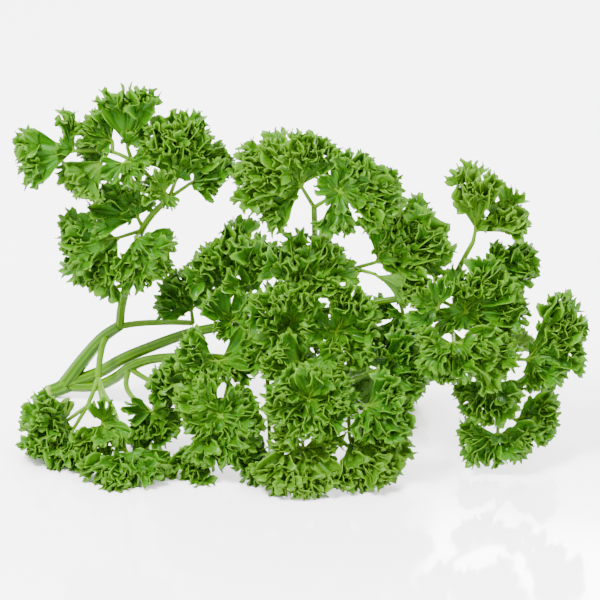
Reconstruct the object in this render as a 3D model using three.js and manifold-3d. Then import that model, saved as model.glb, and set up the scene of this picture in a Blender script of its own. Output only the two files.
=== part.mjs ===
// A small bunch of curly parsley, cut and laid on a table: one cut crown, from which three leaf
// stalks fork, and the sprays of ruffled leaflets that the stalks carry.
// Millimetres, +X to the right, +Y to the back, +Z up. The origin is on the table, under the
// middle of the bunch.
import * as THREE from "three";
import { mergeVertices } from "three/addons/utils/BufferGeometryUtils.js";
import Module from "manifold-3d";

const wasm = await Module();
wasm.setup();

// The bunch is laid out as it is seen by an eye that looks down on the table at this angle. A
// place is [across, up, back]: millimetres to the right of the middle of the view, millimetres up
// in the view above the table's front, and millimetres back along the table.
const LOOK_DOWN = THREE.MathUtils.degToRad(25);
const SIN = Math.sin(LOOK_DOWN);
const COS = Math.cos(LOOK_DOWN);

// The middle of the bunch in that layout, across and back.
const MIDDLE_ACROSS = -0.1;
const MIDDLE_BACK = 41.12;

// Leaflets
const BLADE_THICK = 0.66;
const SHARPEST_FOLD = 0.5;
const LOBES = 3;
const LOBE_WAVE = 0.17;
const LOBE_TILT = 0.14;
const LOBE_LENGTH_SPREAD = 0.1;
const SIDE_SHORTER = 0.1;
// Each lobe's cut, first tooth, notch and second tooth: how far the margin reaches there, and how
// far up (1) or down (-1) the lobe is waved.
const MARGIN = [
  [0.72, 1],
  [0.97, 0.1],
  [0.88, -1],
  [1, -0.1],
];

// The square stem of a leaflet: its share of the way from the join to the tip, and half its width
// at the join and at the leaflet's base.
const LEAF_STEM_SHARE = 0.13;
const LEAF_STEM_HALF = 0.55;
const LEAF_BASE_HALF = 0.6;

// Stalks
const TWIG_RADIUS = 0.7;
const TWIG_END_RADIUS = 0.55;
const HUB_RADIUS = 0.8;
const HUB_LENGTH = 1.5;
const GAP = 0.35;
const SPLINTER = 0.03;
const STALK_STEP = 12;
const STALK_SIDES = 6;
const TWIG_SIDES = 4;

const STALK_LOOK = { color: 0x8fbf3f, roughness: 0.42, metalness: 0 };
const LEAF_LOOK = { color: 0x3f8f1c, roughness: 0.5, metalness: 0 };

// Main stalks: each is the places it passes, with its radius at the first and the last.
const STALKS = {
  crown: { from: 2.1, to: 2.9, by: [[-86, 35.6, 80.5], [-82.2, 36.4, 80.3], [-78.4, 38.3, 79.5]] },
  tall: { from: 2.5, to: 1.75, by: [[-79.6, 38.2, 79.7], [-73, 46.9, 78], [-66.4, 54.2, 75], [-60.9, 58, 72]] },
  tall_up: {
    from: 1.5,
    to: 0.95,
    by: [[-60.9, 57.6, 72.1], [-60.3, 63.5, 71], [-58.8, 70, 69.5], [-56.5, 79.5, 66.5], [-53, 90, 63], [-49.3, 95.3, 61],
      [-43.7, 100.7, 59]],
  },
  tall_over: {
    from: 0.85,
    to: 0.6,
    by: [[-43.7, 100.7, 59], [-50, 107.5, 59.5], [-56, 113, 60.3], [-62.5, 116, 61.5], [-69, 116.5, 61.5]],
  },
  tall_side: { from: 1.1, to: 0.9, by: [[-60.9, 57.8, 72], [-55, 58.7, 71], [-45, 59.2, 68], [-36, 59, 64]] },
  tall_drop: {
    from: 1.15,
    to: 1.0,
    by: [[-65, 55, 75], [-66.6, 51.5, 70.5], [-67.6, 46.5, 66], [-68, 40.4, 60]],
  },
  drop_left: { from: 0.8, to: 0.7, by: [[-68, 40.4, 60], [-69.5, 36, 54], [-71.5, 31, 48]] },
  drop_middle: { from: 0.8, to: 0.7, by: [[-68, 40.4, 60], [-67, 35, 53], [-66.3, 31, 46]] },
  drop_right: { from: 0.8, to: 0.7, by: [[-68, 40.4, 60], [-65.8, 35, 53], [-62.5, 30, 44], [-60.5, 24, 34]] },
  long: {
    from: 2.1,
    to: 1.0,
    by: [[-79.4, 38.3, 79.7], [-68.5, 42, 77], [-60.2, 46.6, 73], [-51.7, 50.3, 69], [-36.5, 55.7, 62], [-18, 59, 56],
      [0, 61.5, 50], [26, 66, 45], [42, 69, 43], [51.2, 73.7, 43]],
  },
  low: {
    from: 1.9,
    to: 0.9,
    by: [[-79.4, 37.4, 79.6], [-68.7, 37.6, 76], [-62.4, 40.4, 73], [-57.7, 43.8, 69], [-51.7, 46.3, 65],
      [-42, 47.5, 58], [-30, 47.5, 50], [-15, 45.5, 42], [-3, 41, 36], [8, 38, 31], [16, 35, 28]],
  },
  low_side: { from: 0.95, to: 0.7, by: [[-57.7, 43.8, 69], [-53.5, 41, 64], [-48, 38.3, 58], [-42, 36, 51]] },
  low_drop: { from: 0.95, to: 0.75, by: [[-57.7, 43.8, 69], [-58.8, 38.5, 66], [-57, 34.5, 60], [-53.4, 31.9, 53]] },
  crest: { from: 1.15, to: 0.95, by: [[5, 62.5, 49.5], [5.2, 72, 50], [5, 86.7, 50], [4.7, 97.5, 49]] },
  side: { from: 0.85, to: 0.75, by: [[5.2, 72, 50], [12, 76, 49], [18, 77.2, 47.5]] },
  right_top: { from: 0.95, to: 0.75, by: [[51.2, 73.7, 43], [54.7, 80.7, 44], [57.6, 86, 45]] },
  right_low: {
    from: 1.0,
    to: 0.7,
    by: [[42, 69, 43], [46.5, 62.5, 41.5], [51, 55.5, 40], [61, 49, 39], [71, 47, 38.5]],
  },
  right_drop: { from: 0.8, to: 0.65, by: [[51, 55.5, 40], [57, 47, 37], [62.5, 38, 34.5], [66.5, 31, 33]] },
  back_low: { from: 0.9, to: 0.7, by: [[20, 65, 46], [24, 59, 54], [28, 51, 62]] },
};

// Sprays: each has the place where its twig leaves a stalk, the place where its leaflets join,
// and its leaflets. A leaflet is its tip's place, the way its upper face looks as [across, up,
// near], its spread in degrees, and how far its sides cup up, from 0 to 1.
const SPRAYS = {
  tall_left: {
    from: [-53, 90, 63], join: [-60.5, 87.6, 60],
    leaves: [
      [[-80.5, 85, 57], [0.1, 0.5, 1], 88, 0.3],
      [[-74, 71, 54], [-0.2, 0, 1], 88, 0.3],
    ],
  },
  tall_front: {
    from: [-53.4, 89, 63.4], join: [-55, 87.8, 57.5],
    leaves: [
      [[-42.5, 82, 52], [0.2, 0.6, 1], 80, 0.4],
      [[-53.5, 70, 49.5], [0.2, 0.2, 1], 92, 0.4],
    ],
  },
  tall_middle: {
    from: [-52.6, 90.8, 62.8], join: [-54.3, 94.3, 62.5],
    leaves: [
      [[-71, 96.5, 61], [0.1, 0.3, 1], 85, 0.35],
      [[-61, 106.5, 63], [0, 0.4, 1], 70, 0.35],
      [[-52.5, 102.5, 65], [0.3, 0.2, 1], 60, 0.2],
    ],
  },
  tall_right: {
    from: [-43.7, 100.7, 59], join: [-36.5, 105.6, 59],
    leaves: [
      [[-22, 113.5, 58], [-0.3, 0.8, 1], 80, 0.5],
      [[-26.5, 101.5, 55], [0.3, 0.3, 1], 65, 0.3],
    ],
  },
  tall_top: {
    from: [-43.7, 100.7, 59], join: [-41.5, 106.3, 59],
    leaves: [
      [[-46.5, 123, 57], [-0.3, -0.2, 1], 62, 0.4],
      [[-39, 129.5, 59], [0, -0.2, 1], 62, 0.4],
      [[-30, 122.5, 60], [0.3, -0.1, 1], 60, 0.4],
    ],
  },
  tall_small: {
    from: [-44.4, 100.3, 58.5], join: [-45, 102, 55],
    leaves: [
      [[-42, 96.7, 51], [0, 0.3, 1], 85, 0.2],
      [[-54, 103.5, 51], [0, 0.3, 1], 84, 0.2],
      [[-47, 110, 52], [0, 0.2, 1], 76, 0.2],
    ],
  },
  tall_crest: {
    from: [-56, 113, 60.3], join: [-57.5, 117.5, 60],
    leaves: [
      [[-57.5, 138, 60], [0.1, -0.2, 1], 66, 0.4],
      [[-50, 127, 63], [0.3, -0.2, 1], 55, 0.3],
    ],
  },
  tall_inner: {
    from: [-57.5, 113.4, 60.3], join: [-58, 112.5, 56.5],
    leaves: [
      [[-67, 108, 52.5], [0, 0.3, 1], 80, 0.2],
      [[-56, 104.5, 52.5], [0, 0.3, 1], 75, 0.2],
      [[-49, 113, 52], [0.1, 0.3, 1], 66, 0.2],
    ],
  },
  tall_crown: {
    from: [-62.5, 116, 61.5], join: [-62.5, 119.5, 63.5],
    leaves: [
      [[-69, 130, 64], [0, 0, 1], 74, 0.3],
      [[-74.5, 123, 61.5], [-0.2, 0.2, 1], 60, 0.3],
      [[-73, 112, 66], [-0.1, 0.2, 1], 58, 0.3],
    ],
  },
  tall_hang: {
    from: [-64, 116.3, 61.6], join: [-65.2, 113.5, 59],
    leaves: [[[-76.5, 101.5, 56], [-0.2, 0.2, 1], 85, 0.4]],
  },
  tall_tip: {
    from: [-69, 116.5, 61.5], join: [-75.3, 116.3, 61.5],
    leaves: [
      [[-95, 111.5, 59], [-0.1, 0.4, 1], 84, 0.4],
      [[-78.6, 129.3, 62.5], [0.2, 0, 1], 36, 0.2],
    ],
  },
  crest_left: {
    from: [4.7, 97.5, 49], join: [0.5, 104.3, 47],
    leaves: [
      [[-14.5, 94, 44], [-0.1, 0.3, 1], 84, 0.35],
      [[-22, 109.5, 45.5], [0, 0.2, 1], 72, 0.3],
      [[-8, 121.5, 47], [-0.1, -0.1, 1], 56, 0.25],
      [[8, 120.5, 48], [0.1, -0.1, 1], 66, 0.3],
    ],
  },
  crest_right: {
    from: [4.7, 97.5, 49], join: [13, 102.5, 43],
    leaves: [
      [[21.5, 115.5, 43.5], [0, -0.1, 1], 74, 0.3],
      [[34, 102, 41], [0.2, 0.2, 1], 58, 0.3],
      [[32, 95.5, 38.5], [0.2, 0.3, 1], 72, 0.4],
      [[13, 88, 40], [-0.1, 0.2, 1], 74, 0.3],
      [[5.5, 108, 41], [0, 0.1, 1], 84, 0.3],
    ],
  },
  side_top: {
    from: [18, 77.2, 47.5], join: [25.5, 79.3, 45],
    leaves: [
      [[31.5, 96.3, 44], [0, -0.1, 1], 58, 0.5],
      [[47.5, 92, 41], [0.3, 0.2, 1], 62, 0.4],
      [[46.5, 77.5, 38], [0.4, 0.3, 1], 58, 0.4],
    ],
  },
  side_low: {
    from: [18, 77.2, 47.5], join: [25, 75.3, 40],
    leaves: [[[37, 65.5, 35.5], [0.8, 0.9, -0.3], 84, 0.6]],
  },
  centre_top: {
    from: [0, 61.7, 49.6], join: [-1, 70.5, 45],
    leaves: [
      [[-5.5, 84.5, 43.5], [-0.1, 0, 1], 74, 0.4],
      [[8, 88, 44], [0, 0, 1], 66, 0.4],
      [[16.5, 76.5, 41], [0.1, 0.3, 1], 66, 0.4],
    ],
  },
  left_top: {
    from: [-25, 58, 58.3], join: [-24, 71, 59],
    leaves: [
      [[-36.5, 80, 57], [0, 0, 1], 70, 0.3],
      [[-27, 87, 59], [0, -0.1, 1], 48, 0.3],
      [[-18, 91.5, 59], [0, -0.1, 1], 46, 0.4],
    ],
  },
  left_inner: {
    from: [-18, 59.3, 56], join: [-16.5, 69, 52.5],
    leaves: [
      [[-13, 87.5, 52], [0, 0, 1], 66, 0.4],
      [[-24.5, 76, 49.5], [-0.2, 0, 1], 70, 0.4],
    ],
  },
  left_side: {
    from: [-36, 59, 64], join: [-36.5, 63, 63],
    leaves: [
      [[-49, 66, 60], [0, 0.3, 1], 84, 0.3],
      [[-42.5, 76, 62], [0, 0, 1], 56, 0.3],
      [[-32, 75.5, 61.5], [0, 0, 1], 66, 0.4],
    ],
  },
  left_heart: {
    from: [-23, 58.2, 57.5], join: [-23, 59.5, 51.5],
    leaves: [
      [[-32, 68.5, 50], [-0.1, 0.2, 1], 74, 0.4],
      [[-14, 65.5, 45.5], [0.1, 0.2, 1], 74, 0.4],
      [[-27, 53.5, 43.5], [0, 0.3, 1], 80, 0.4],
    ],
  },
  centre: {
    from: [-5, 60.8, 51.3], join: [-3.5, 57.5, 43.5],
    leaves: [
      [[-14.5, 69, 38.5], [0, 0.1, 1], 74, 0.4],
      [[0.5, 71.5, 37], [0, 0.1, 1], 66, 0.4],
      [[-13.5, 55, 35], [-0.1, 0.3, 1], 80, 0.4],
      [[4, 45, 37], [0.1, 0.3, 1], 80, 0.4],
    ],
  },
  centre_right: {
    from: [12, 63.6, 47.6], join: [12, 56, 41],
    leaves: [
      [[20.5, 70, 37.5], [0, 0, 1], 58, 0.3],
      [[27, 58.5, 36], [0.1, 0.2, 1], 60, 0.3],
      [[12.5, 49, 31.5], [0, 0.3, 1], 66, 0.4],
      [[25, 47, 35], [0.1, 0.3, 1], 74, 0.4],
      [[0, 58.5, 36], [0, 0.2, 1], 74, 0.3],
    ],
  },
  right_centre: {
    from: [33, 67.3, 44.2], join: [34.5, 62, 45.5],
    leaves: [
      [[24, 63.5, 47.5], [0, 0.2, 1], 66, 0.3],
      [[27.5, 49.5, 43], [0, 0.3, 1], 66, 0.3],
      [[39.5, 49.5, 42], [0.1, 0.2, 1], 66, 0.3],
    ],
  },
  front_top: {
    from: [-3, 41, 36], join: [0, 45.5, 33.5],
    leaves: [
      [[-9, 50.5, 28], [0, 0.5, 1], 76, 0.4],
      [[2, 40, 24.5], [0, 0.5, 1], 76, 0.4],
      [[14.5, 41, 26.5], [0.2, 0.5, 1], 76, 0.4],
      [[-11.5, 39, 25], [0, 0.5, 1], 74, 0.4],
    ],
  },
  left_low: {
    from: [-30, 47.5, 50], join: [-27.5, 45.8, 43],
    leaves: [
      [[-41.5, 49, 39], [0, 0.3, 1], 80, 0.4],
      [[-11, 51.5, 38], [0, 0.4, 1], 74, 0.4],
      [[-19, 39, 33], [0.1, 0.4, 1], 70, 0.4],
      [[-31.5, 38.5, 34.5], [0, 0.4, 1], 66, 0.4],
    ],
  },
  left_back: {
    from: [-42, 36, 51], join: [-38, 33.5, 44.5],
    leaves: [
      [[-49.5, 42.5, 42.5], [0, 0.3, 1], 80, 0.4],
      [[-36, 27, 35], [0, 0.4, 1], 80, 0.4],
      [[-41, 46.5, 40], [0, 0.2, 1], 66, 0.3],
    ],
  },
  front_heart: {
    from: [2, 39.8, 33.6], join: [3, 33.5, 23],
    leaves: [
      [[-8.5, 38.5, 18.5], [-0.2, 0.5, 1], 74, 0.5],
      [[6, 45, 20], [0, 0.2, 1], 74, 0.5],
      [[18, 33.5, 17.5], [0.2, 0.4, 1], 76, 0.5],
      [[-6.5, 22, 11.5], [-0.1, 0.5, 1], 74, 0.5],
      [[9.5, 20.5, 11], [0.1, 0.5, 1], 74, 0.5],
      [[-12, 30, 16], [-0.1, 0.5, 1], 66, 0.5],
    ],
  },
  front_low: {
    from: [0, 40, 34.6], join: [1, 17.5, 18],
    leaves: [
      [[-8, 1.5, 1.5], [-0.1, 0.6, 1], 72, 0.4],
      [[8, 1, 1.5], [0.1, 0.6, 1], 72, 0.4],
      [[14, 18, 14], [0.2, 0.3, 1], 80, 0.4],
      [[-10.5, 20.5, 14], [0, 0.4, 1], 72, 0.4],
    ],
  },
  front_right: {
    from: [16, 35, 28], join: [16.5, 20.5, 21],
    leaves: [
      [[23, 2.8, 5.5], [0, 0.6, 1], 72, 0.4],
      [[33.5, 8, 11.5], [0.2, 0.6, 1], 74, 0.4],
      [[33, 25, 17], [0.3, 0.3, 1], 70, 0.4],
    ],
  },
  right_heart: {
    from: [16, 35, 28], join: [22, 31, 19],
    leaves: [
      [[34.5, 37, 14], [0.2, 0.3, 1], 72, 0.5],
      [[38, 23.5, 12], [0.2, 0.4, 1], 72, 0.5],
      [[21.5, 20, 10.5], [0, 0.4, 1], 76, 0.5],
    ],
  },
  right_dark: {
    from: [10, 37.4, 30.3], join: [26, 43.5, 33.5],
    leaves: [
      [[40, 51, 32.5], [0.1, 0.1, 1], 72, 0.4],
      [[42.5, 38.5, 29.5], [0.2, 0.3, 1], 72, 0.4],
      [[24, 51.5, 28.5], [0, 0.2, 1], 60, 0.4],
    ],
  },
  front_left: {
    from: [-11, 44.4, 40], join: [-10, 15.5, 22.5],
    leaves: [
      [[-21.5, 17.5, 18], [-0.1, 0.6, 1], 80, 0.4],
      [[-16.5, 5.5, 9.5], [0, 0.6, 1], 84, 0.4],
    ],
  },

  left_front: {
    from: [-22, 46.8, 45.8], join: [-26.5, 28, 25],
    leaves: [
      [[-37.5, 21, 19], [-0.1, 0.5, 1], 76, 0.5],
      [[-28, 9.5, 13], [0, 0.5, 1], 80, 0.5],
      [[-15, 19, 14.5], [0.2, 0.5, 1], 76, 0.5],
      [[-38, 40, 30], [-0.2, 0.1, 1], 80, 0.5],
      [[-15.5, 36.5, 27], [0.2, 0.1, 1], 80, 0.5],
    ],
  },
  left_under: {
    from: [-28, 47.3, 48.8], join: [-30.5, 17.5, 29],
    leaves: [
      [[-39.5, 4.5, 13.5], [0, 0.7, 1], 66, 0.3],
    ],
  },
  drop_far: {
    from: [-71.5, 31, 48], join: [-76, 23.5, 44.5],
    leaves: [
      [[-92, 16.5, 36], [-0.3, 0.7, 1], 92, 0.4],
      [[-83, 9.6, 22], [0, 0.6, 1], 84, 0.4],
      [[-91, 29, 36], [-0.3, 0.3, 1], 66, 0.4],
    ],
  },
  drop_pale: {
    from: [-71.5, 31, 48], join: [-79.5, 25.3, 44.5],
    leaves: [
      [[-89, 32.5, 47], [0.3, 0.3, -1], 66, 0.3],
      [[-78, 34, 50], [-0.2, 0.3, -1], 50, 0.3],
    ],
  },
  drop_heart: {
    from: [-66.3, 31, 46], join: [-66, 25.5, 34],
    leaves: [
      [[-71, 14, 24], [-0.1, 0.5, 1], 80, 0.5],
      [[-60, 17, 21], [0.1, 0.5, 1], 80, 0.5],
      [[-66, 34, 31.5], [0, -0.1, 1], 70, 0.5],
    ],
  },
  drop_right: {
    from: [-53.4, 31.9, 53], join: [-49.5, 29, 44.5],
    leaves: [
      [[-41.5, 21, 35], [0.2, 0.4, 1], 76, 0.4],
      [[-52.5, 15.5, 33], [0, 0.4, 1], 80, 0.4],
      [[-59, 29.5, 38], [-0.2, 0.2, 1], 70, 0.4],
      [[-44, 34, 40], [0.2, 0.1, 1], 66, 0.4],
    ],
  },
  drop_under: {
    from: [-60.5, 24, 34], join: [-58, 16, 23.5],
    leaves: [
      [[-68, 4, 9.5], [-0.1, 0.7, 1], 72, 0.3],
      [[-55, 3.7, 8.8], [0, 0.7, 1], 72, 0.3],
      [[-44.5, 8, 15.5], [0.2, 0.6, 1], 66, 0.3],
    ],
  },
  right_crest: {
    from: [57.6, 86, 45], join: [58.3, 89.5, 45.3],
    leaves: [
      [[58, 110.5, 45], [-0.2, -0.2, 1], 50, 0.6],
      [[76, 95.5, 43], [-0.1, 0.5, 1], 64, 0.5],
    ],
  },
  right_back: {
    from: [51.2, 73.7, 43], join: [63, 77, 48],
    leaves: [
      [[67, 86, 48], [0, 0, 1], 42, 0.2],
      [[78.5, 84, 48], [0.2, -0.2, 1], 56, 0.4],
      [[77.5, 73.5, 46], [0.3, 0.3, 1], 60, 0.4],
    ],
  },
  right_big: {
    from: [42, 69, 43], join: [55, 62.5, 39],
    leaves: [
      [[55, 76.5, 37], [0, 0, 1], 62, 0.3],
      [[68.5, 77, 37], [0.1, 0.1, 1], 62, 0.3],
      [[75.5, 65, 35], [0.2, 0.2, 1], 60, 0.3],
      [[70, 52.5, 33], [0.1, 0.3, 1], 66, 0.4],
      [[45, 57, 35], [-0.1, 0.3, 1], 74, 0.4],
    ],
  },
  right_inner: {
    from: [42, 69, 43], join: [46, 63.8, 32.5],
    leaves: [
      [[36, 67.5, 30.5], [-0.1, 0.2, 1], 70, 0.4],
      [[37.5, 56.5, 28.5], [0, 0.4, 1], 70, 0.4],
      [[47.5, 74.5, 31], [0, 0.2, 1], 56, 0.4],
    ],
  },
  right_middle: {
    from: [51, 55.5, 40], join: [51, 52.5, 27.5],
    leaves: [
      [[40, 49.5, 17.5], [-0.1, 0.4, 1], 70, 0.4],
      [[45.5, 38.5, 19], [0, 0.4, 1], 76, 0.4],
      [[58, 40, 19], [0.1, 0.4, 1], 70, 0.4],
      [[65, 51, 21], [0.1, 0.3, 1], 66, 0.4],
      [[71, 42, 22], [0.1, 0.4, 1], 70, 0.4],
    ],
  },
  right_far: {
    from: [71, 47, 38.5], join: [75.5, 46.8, 33],
    leaves: [
      [[92, 65, 33], [0.2, -0.1, 1], 46, 0.4],
      [[94.5, 52.5, 30], [0.3, 0, 1], 56, 0.4],
      [[88.5, 40.5, 28], [0.3, 0.2, 1], 58, 0.4],
      [[79.5, 35, 28.5], [0.1, 0.3, 1], 50, 0.3],
    ],
  },
  right_pale: {
    from: [69, 47.2, 39.3], join: [70.5, 49.5, 44],
    leaves: [
      [[65.5, 55.5, 47.5], [0, 0.3, -1], 78, 0.3],
      [[78, 54.5, 49], [0, 0.3, -1], 78, 0.3],
    ],
  },
  right_fall: {
    from: [60, 42.3, 36], join: [63.5, 39.5, 31.5],
    leaves: [
      [[53, 31, 24], [-0.1, 0.4, 1], 74, 0.4],
      [[62.5, 24.5, 21.5], [0, 0.4, 1], 76, 0.4],
      [[73, 32.5, 24.5], [0.2, 0.4, 1], 70, 0.4],
    ],
  },
  right_foot: {
    from: [66.5, 31, 33], join: [66, 22, 28],
    leaves: [
      [[52.5, 18, 24], [-0.1, 0.5, 1], 80, 0.4],
      [[61, 11.5, 19.5], [0, 0.6, 1], 76, 0.4],
      [[75, 13.5, 20.5], [0.1, 0.5, 1], 76, 0.4],
      [[79.5, 20, 23], [0.3, 0.4, 1], 62, 0.4],
    ],
  },
  right_wing: {
    from: [66.5, 31, 33], join: [72, 26.5, 34],
    leaves: [
      [[86.5, 33, 34], [0.4, 0.4, 1], 42, 0.5],
      [[86, 22, 31], [0.4, 0.5, 1], 66, 0.4],
    ],
  },
  back_foot: {
    from: [28, 51, 62], join: [30, 43, 67],
    leaves: [
      [[20, 33, 74], [0, 0.3, -1], 76, 0.4],
      [[34, 31, 75], [0, 0.3, -1], 76, 0.4],
      [[44, 40, 70], [0.1, 0.3, -1], 76, 0.4],
    ],
  },
};

// A layout place as a point of the part.
function at([across, up, back]) {
  return new THREE.Vector3(across - MIDDLE_ACROSS, back - MIDDLE_BACK, (up - back * SIN) / COS);
}

// A layout direction [across, up, near] as a direction of the part.
function towards([across, up, near]) {
  return new THREE.Vector3(across, up * SIN - near * COS, up * COS + near * SIN).normalize();
}

// A repeatable number from 0 to 1 for each whole number.
function draw(index) {
  return ((index * 9301 + 49297) % 233280) / 233280;
}

function solid(geometry) {
  const plain = new THREE.BufferGeometry();
  plain.setAttribute("position", geometry.getAttribute("position"));
  plain.setIndex(geometry.index);
  const merged = mergeVertices(plain, 1e-4);
  return new wasm.Manifold(
    new wasm.Mesh({
      numProp: 3,
      vertProperties: new Float32Array(merged.attributes.position.array),
      triVerts: new Uint32Array(merged.index.array),
    }),
  );
}

// A closed round tube along points, with its radius at the first and the last.
function stalk(points, first, last, sides) {
  const curve = new THREE.CatmullRomCurve3(points, false, "centripetal");
  const steps = Math.max(1, Math.round(curve.getLength() / STALK_STEP));
  const frames = curve.computeFrenetFrames(steps, false);
  const tube = new THREE.CylinderGeometry(1, 1, 1, sides, steps);
  const place = tube.getAttribute("position");
  for (let i = 0; i < place.count; i++) {
    const share = 0.5 - place.getY(i);
    const step = Math.round(share * steps);
    const radius = THREE.MathUtils.lerp(first, last, share);
    const point = curve
      .getPointAt(step / steps)
      .addScaledVector(frames.normals[step], place.getX(i) * radius)
      .addScaledVector(frames.binormals[step], place.getZ(i) * radius);
    place.setXYZ(i, point.x, point.y, point.z);
  }
  return solid(tube);
}

// One leaflet: a short square stem from the join, and a thin fan from it to the tip, pleated along
// the veins, with lobed and toothed edges. Both faces are split into triangles alike.
function leaflet(join, [tipPlace, face, spreadDegrees, cup], seed) {
  const along = at(tipPlace).sub(join);
  const root = join.clone().addScaledVector(along, LEAF_STEM_SHARE);
  const reach = along.length() * (1 - LEAF_STEM_SHARE);
  along.normalize();
  const up = towards(face);
  up.addScaledVector(along, -up.dot(along)).normalize();
  const side = new THREE.Vector3().crossVectors(up, along);
  const halfSpread = THREE.MathUtils.degToRad(spreadDegrees) / 2;

  const veins = [];
  for (let lobe = 0; lobe <= LOBES; lobe++) {
    const tilt = LOBE_TILT * (2 * draw(seed + 13 * lobe) - 1);
    const grown = 1 + LOBE_LENGTH_SPREAD * (2 * draw(seed + 50 + 17 * lobe) - 1);
    for (let i = 0; i < (lobe < LOBES ? MARGIN.length : 1); i++) {
      const [share, wave] = MARGIN[i];
      const turn = (2 * (lobe + i / MARGIN.length)) / LOBES - 1;
      const lift = cup * turn * turn * halfSpread + LOBE_WAVE * wave + (i ? tilt : 0);
      const length = reach * share * (1 - SIDE_SHORTER * turn * turn) * (i ? grown : 1);
      veins.push(
        new THREE.Vector3()
          .addScaledVector(along, length * Math.cos(lift) * Math.cos(turn * halfSpread))
          .addScaledVector(side, length * Math.cos(lift) * Math.sin(turn * halfSpread))
          .addScaledVector(up, length * Math.sin(lift)),
      );
    }
  }

  // Each vein is moved out to both faces far enough for the pleats beside it to be of one
  // thickness.
  const pleats = veins.slice(1).map((vein, i) => veins[i].clone().cross(vein).normalize());
  const columns = pleats.length;
  const tops = [];
  const bottoms = [];
  veins.forEach((vein, i) => {
    const before = pleats[Math.max(i - 1, 0)];
    const after = pleats[Math.min(i, columns - 1)];
    const out = before.clone().add(after);
    out.multiplyScalar(BLADE_THICK / 2 / Math.max(1 + before.dot(after), SHARPEST_FOLD));
    const margin = root.clone().add(vein);
    tops.push(margin.clone().add(out));
    bottoms.push(margin.clone().sub(out));
  });
  const ring = (centre, half) => [
    centre.clone().addScaledVector(up, half),
    centre.clone().addScaledVector(side, half),
    centre.clone().addScaledVector(up, -half),
    centre.clone().addScaledVector(side, -half),
  ];
  const blade = new THREE.BufferGeometry().setFromPoints([
    ...tops,
    ...bottoms,
    ...ring(root, LEAF_BASE_HALF),
    ...ring(join, LEAF_STEM_HALF),
  ]);

  const count = tops.length;
  const [above, right, below, left] = [0, 1, 2, 3].map((i) => 2 * count + i);
  const faces = [];
  for (let i = 0; i < columns; i++) {
    faces.push(above, i, i + 1);
    faces.push(below, count + i + 1, count + i);
    faces.push(i + 1, i, count + i);
    faces.push(i + 1, count + i, count + i + 1);
  }
  faces.push(0, above, left, 0, left, count, left, below, count);
  faces.push(above, columns, right, columns, count + columns, right, count + columns, below, right);
  for (let i = 0; i < 4; i++) {
    const a = 2 * count + i;
    const b = 2 * count + ((i + 1) % 4);
    faces.push(a, b, b + 4, a, b + 4, a + 4);
  }
  faces.push(above + 4, right + 4, below + 4, above + 4, below + 4, left + 4);
  blade.setIndex(faces);
  return solid(blade);
}

// What reaches below the table is cut off flat, a loose scrap is dropped, and splinters left by
// joining are merged away.
function rested(shape) {
  const whole = shape.trimByPlane([0, 0, 1], 0).asOriginal().simplify(SPLINTER);
  return whole.decompose().sort((a, b) => b.volume() - a.volume())[0];
}

function mesh(shape, name, look) {
  const { vertProperties, triVerts } = shape.getMesh();
  const geometry = new THREE.BufferGeometry();
  geometry.setAttribute("position", new THREE.BufferAttribute(vertProperties, 3));
  geometry.setIndex(new THREE.BufferAttribute(triVerts, 1));
  geometry.computeVertexNormals();
  const made = new THREE.Mesh(geometry, new THREE.MeshStandardMaterial(look));
  made.name = name;
  return made;
}

// The twig that leads to a spray ends just short of it.
function twig({ from, join }) {
  const start = at(from);
  const end = at(join);
  const short = end.clone().sub(start).setLength(HUB_LENGTH / 2 + GAP);
  return stalk([start, end.sub(short)], TWIG_RADIUS, TWIG_END_RADIUS, TWIG_SIDES);
}

function spray({ from, join, leaves }, seed) {
  const root = at(join);
  const half = root.clone().sub(at(from)).setLength(HUB_LENGTH / 2);
  const hub = stalk([root.clone().sub(half), root.clone().add(half)], HUB_RADIUS, HUB_RADIUS, TWIG_SIDES);
  return wasm.Manifold.union([hub, ...leaves.map((leaf, i) => leaflet(root, leaf, seed + 7 * i))]);
}

const parsley = new THREE.Group();
const stalks = wasm.Manifold.union([
  ...Object.values(STALKS).map(({ from, to, by }) => stalk(by.map(at), from, to, STALK_SIDES)),
  ...Object.values(SPRAYS).map(twig),
]);
parsley.add(mesh(rested(stalks), "stalks", STALK_LOOK));
Object.entries(SPRAYS).forEach(([name, parts], i) => {
  parsley.add(mesh(rested(spray(parts, 100 * i)), "spray_" + name, LEAF_LOOK));
});

export default parsley;
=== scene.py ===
"""A small bunch of curly parsley, laid on a pale glossy table: its ribbed stalks, the sprays of
ruffled leaflets that they carry, and the light, table and camera of a plain studio picture."""

import math
from collections import namedtuple

import bpy
import numpy as np
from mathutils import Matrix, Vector


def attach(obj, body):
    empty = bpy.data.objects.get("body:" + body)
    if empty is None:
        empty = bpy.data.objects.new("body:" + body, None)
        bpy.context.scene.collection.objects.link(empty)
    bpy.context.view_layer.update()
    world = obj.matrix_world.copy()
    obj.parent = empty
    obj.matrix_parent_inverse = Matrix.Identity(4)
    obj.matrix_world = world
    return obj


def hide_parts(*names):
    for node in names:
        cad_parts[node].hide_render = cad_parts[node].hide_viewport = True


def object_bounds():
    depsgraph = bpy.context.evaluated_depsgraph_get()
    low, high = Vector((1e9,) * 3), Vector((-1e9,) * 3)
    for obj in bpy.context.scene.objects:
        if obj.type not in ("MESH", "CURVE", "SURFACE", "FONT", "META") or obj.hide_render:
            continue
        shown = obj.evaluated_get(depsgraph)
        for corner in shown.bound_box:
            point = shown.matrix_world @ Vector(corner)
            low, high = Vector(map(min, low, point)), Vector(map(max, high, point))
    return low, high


bl_info = {
    "name": "Parsley bunch",
    "version": (1, 0, 0),
    "blender": (4, 5, 0),
    "location": "3D View > Sidebar > Parsley",
    "description": "Makes a bunch of curly parsley from its stalks and sprays, with a studio around it",
    "category": "Add Mesh",
}

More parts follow.
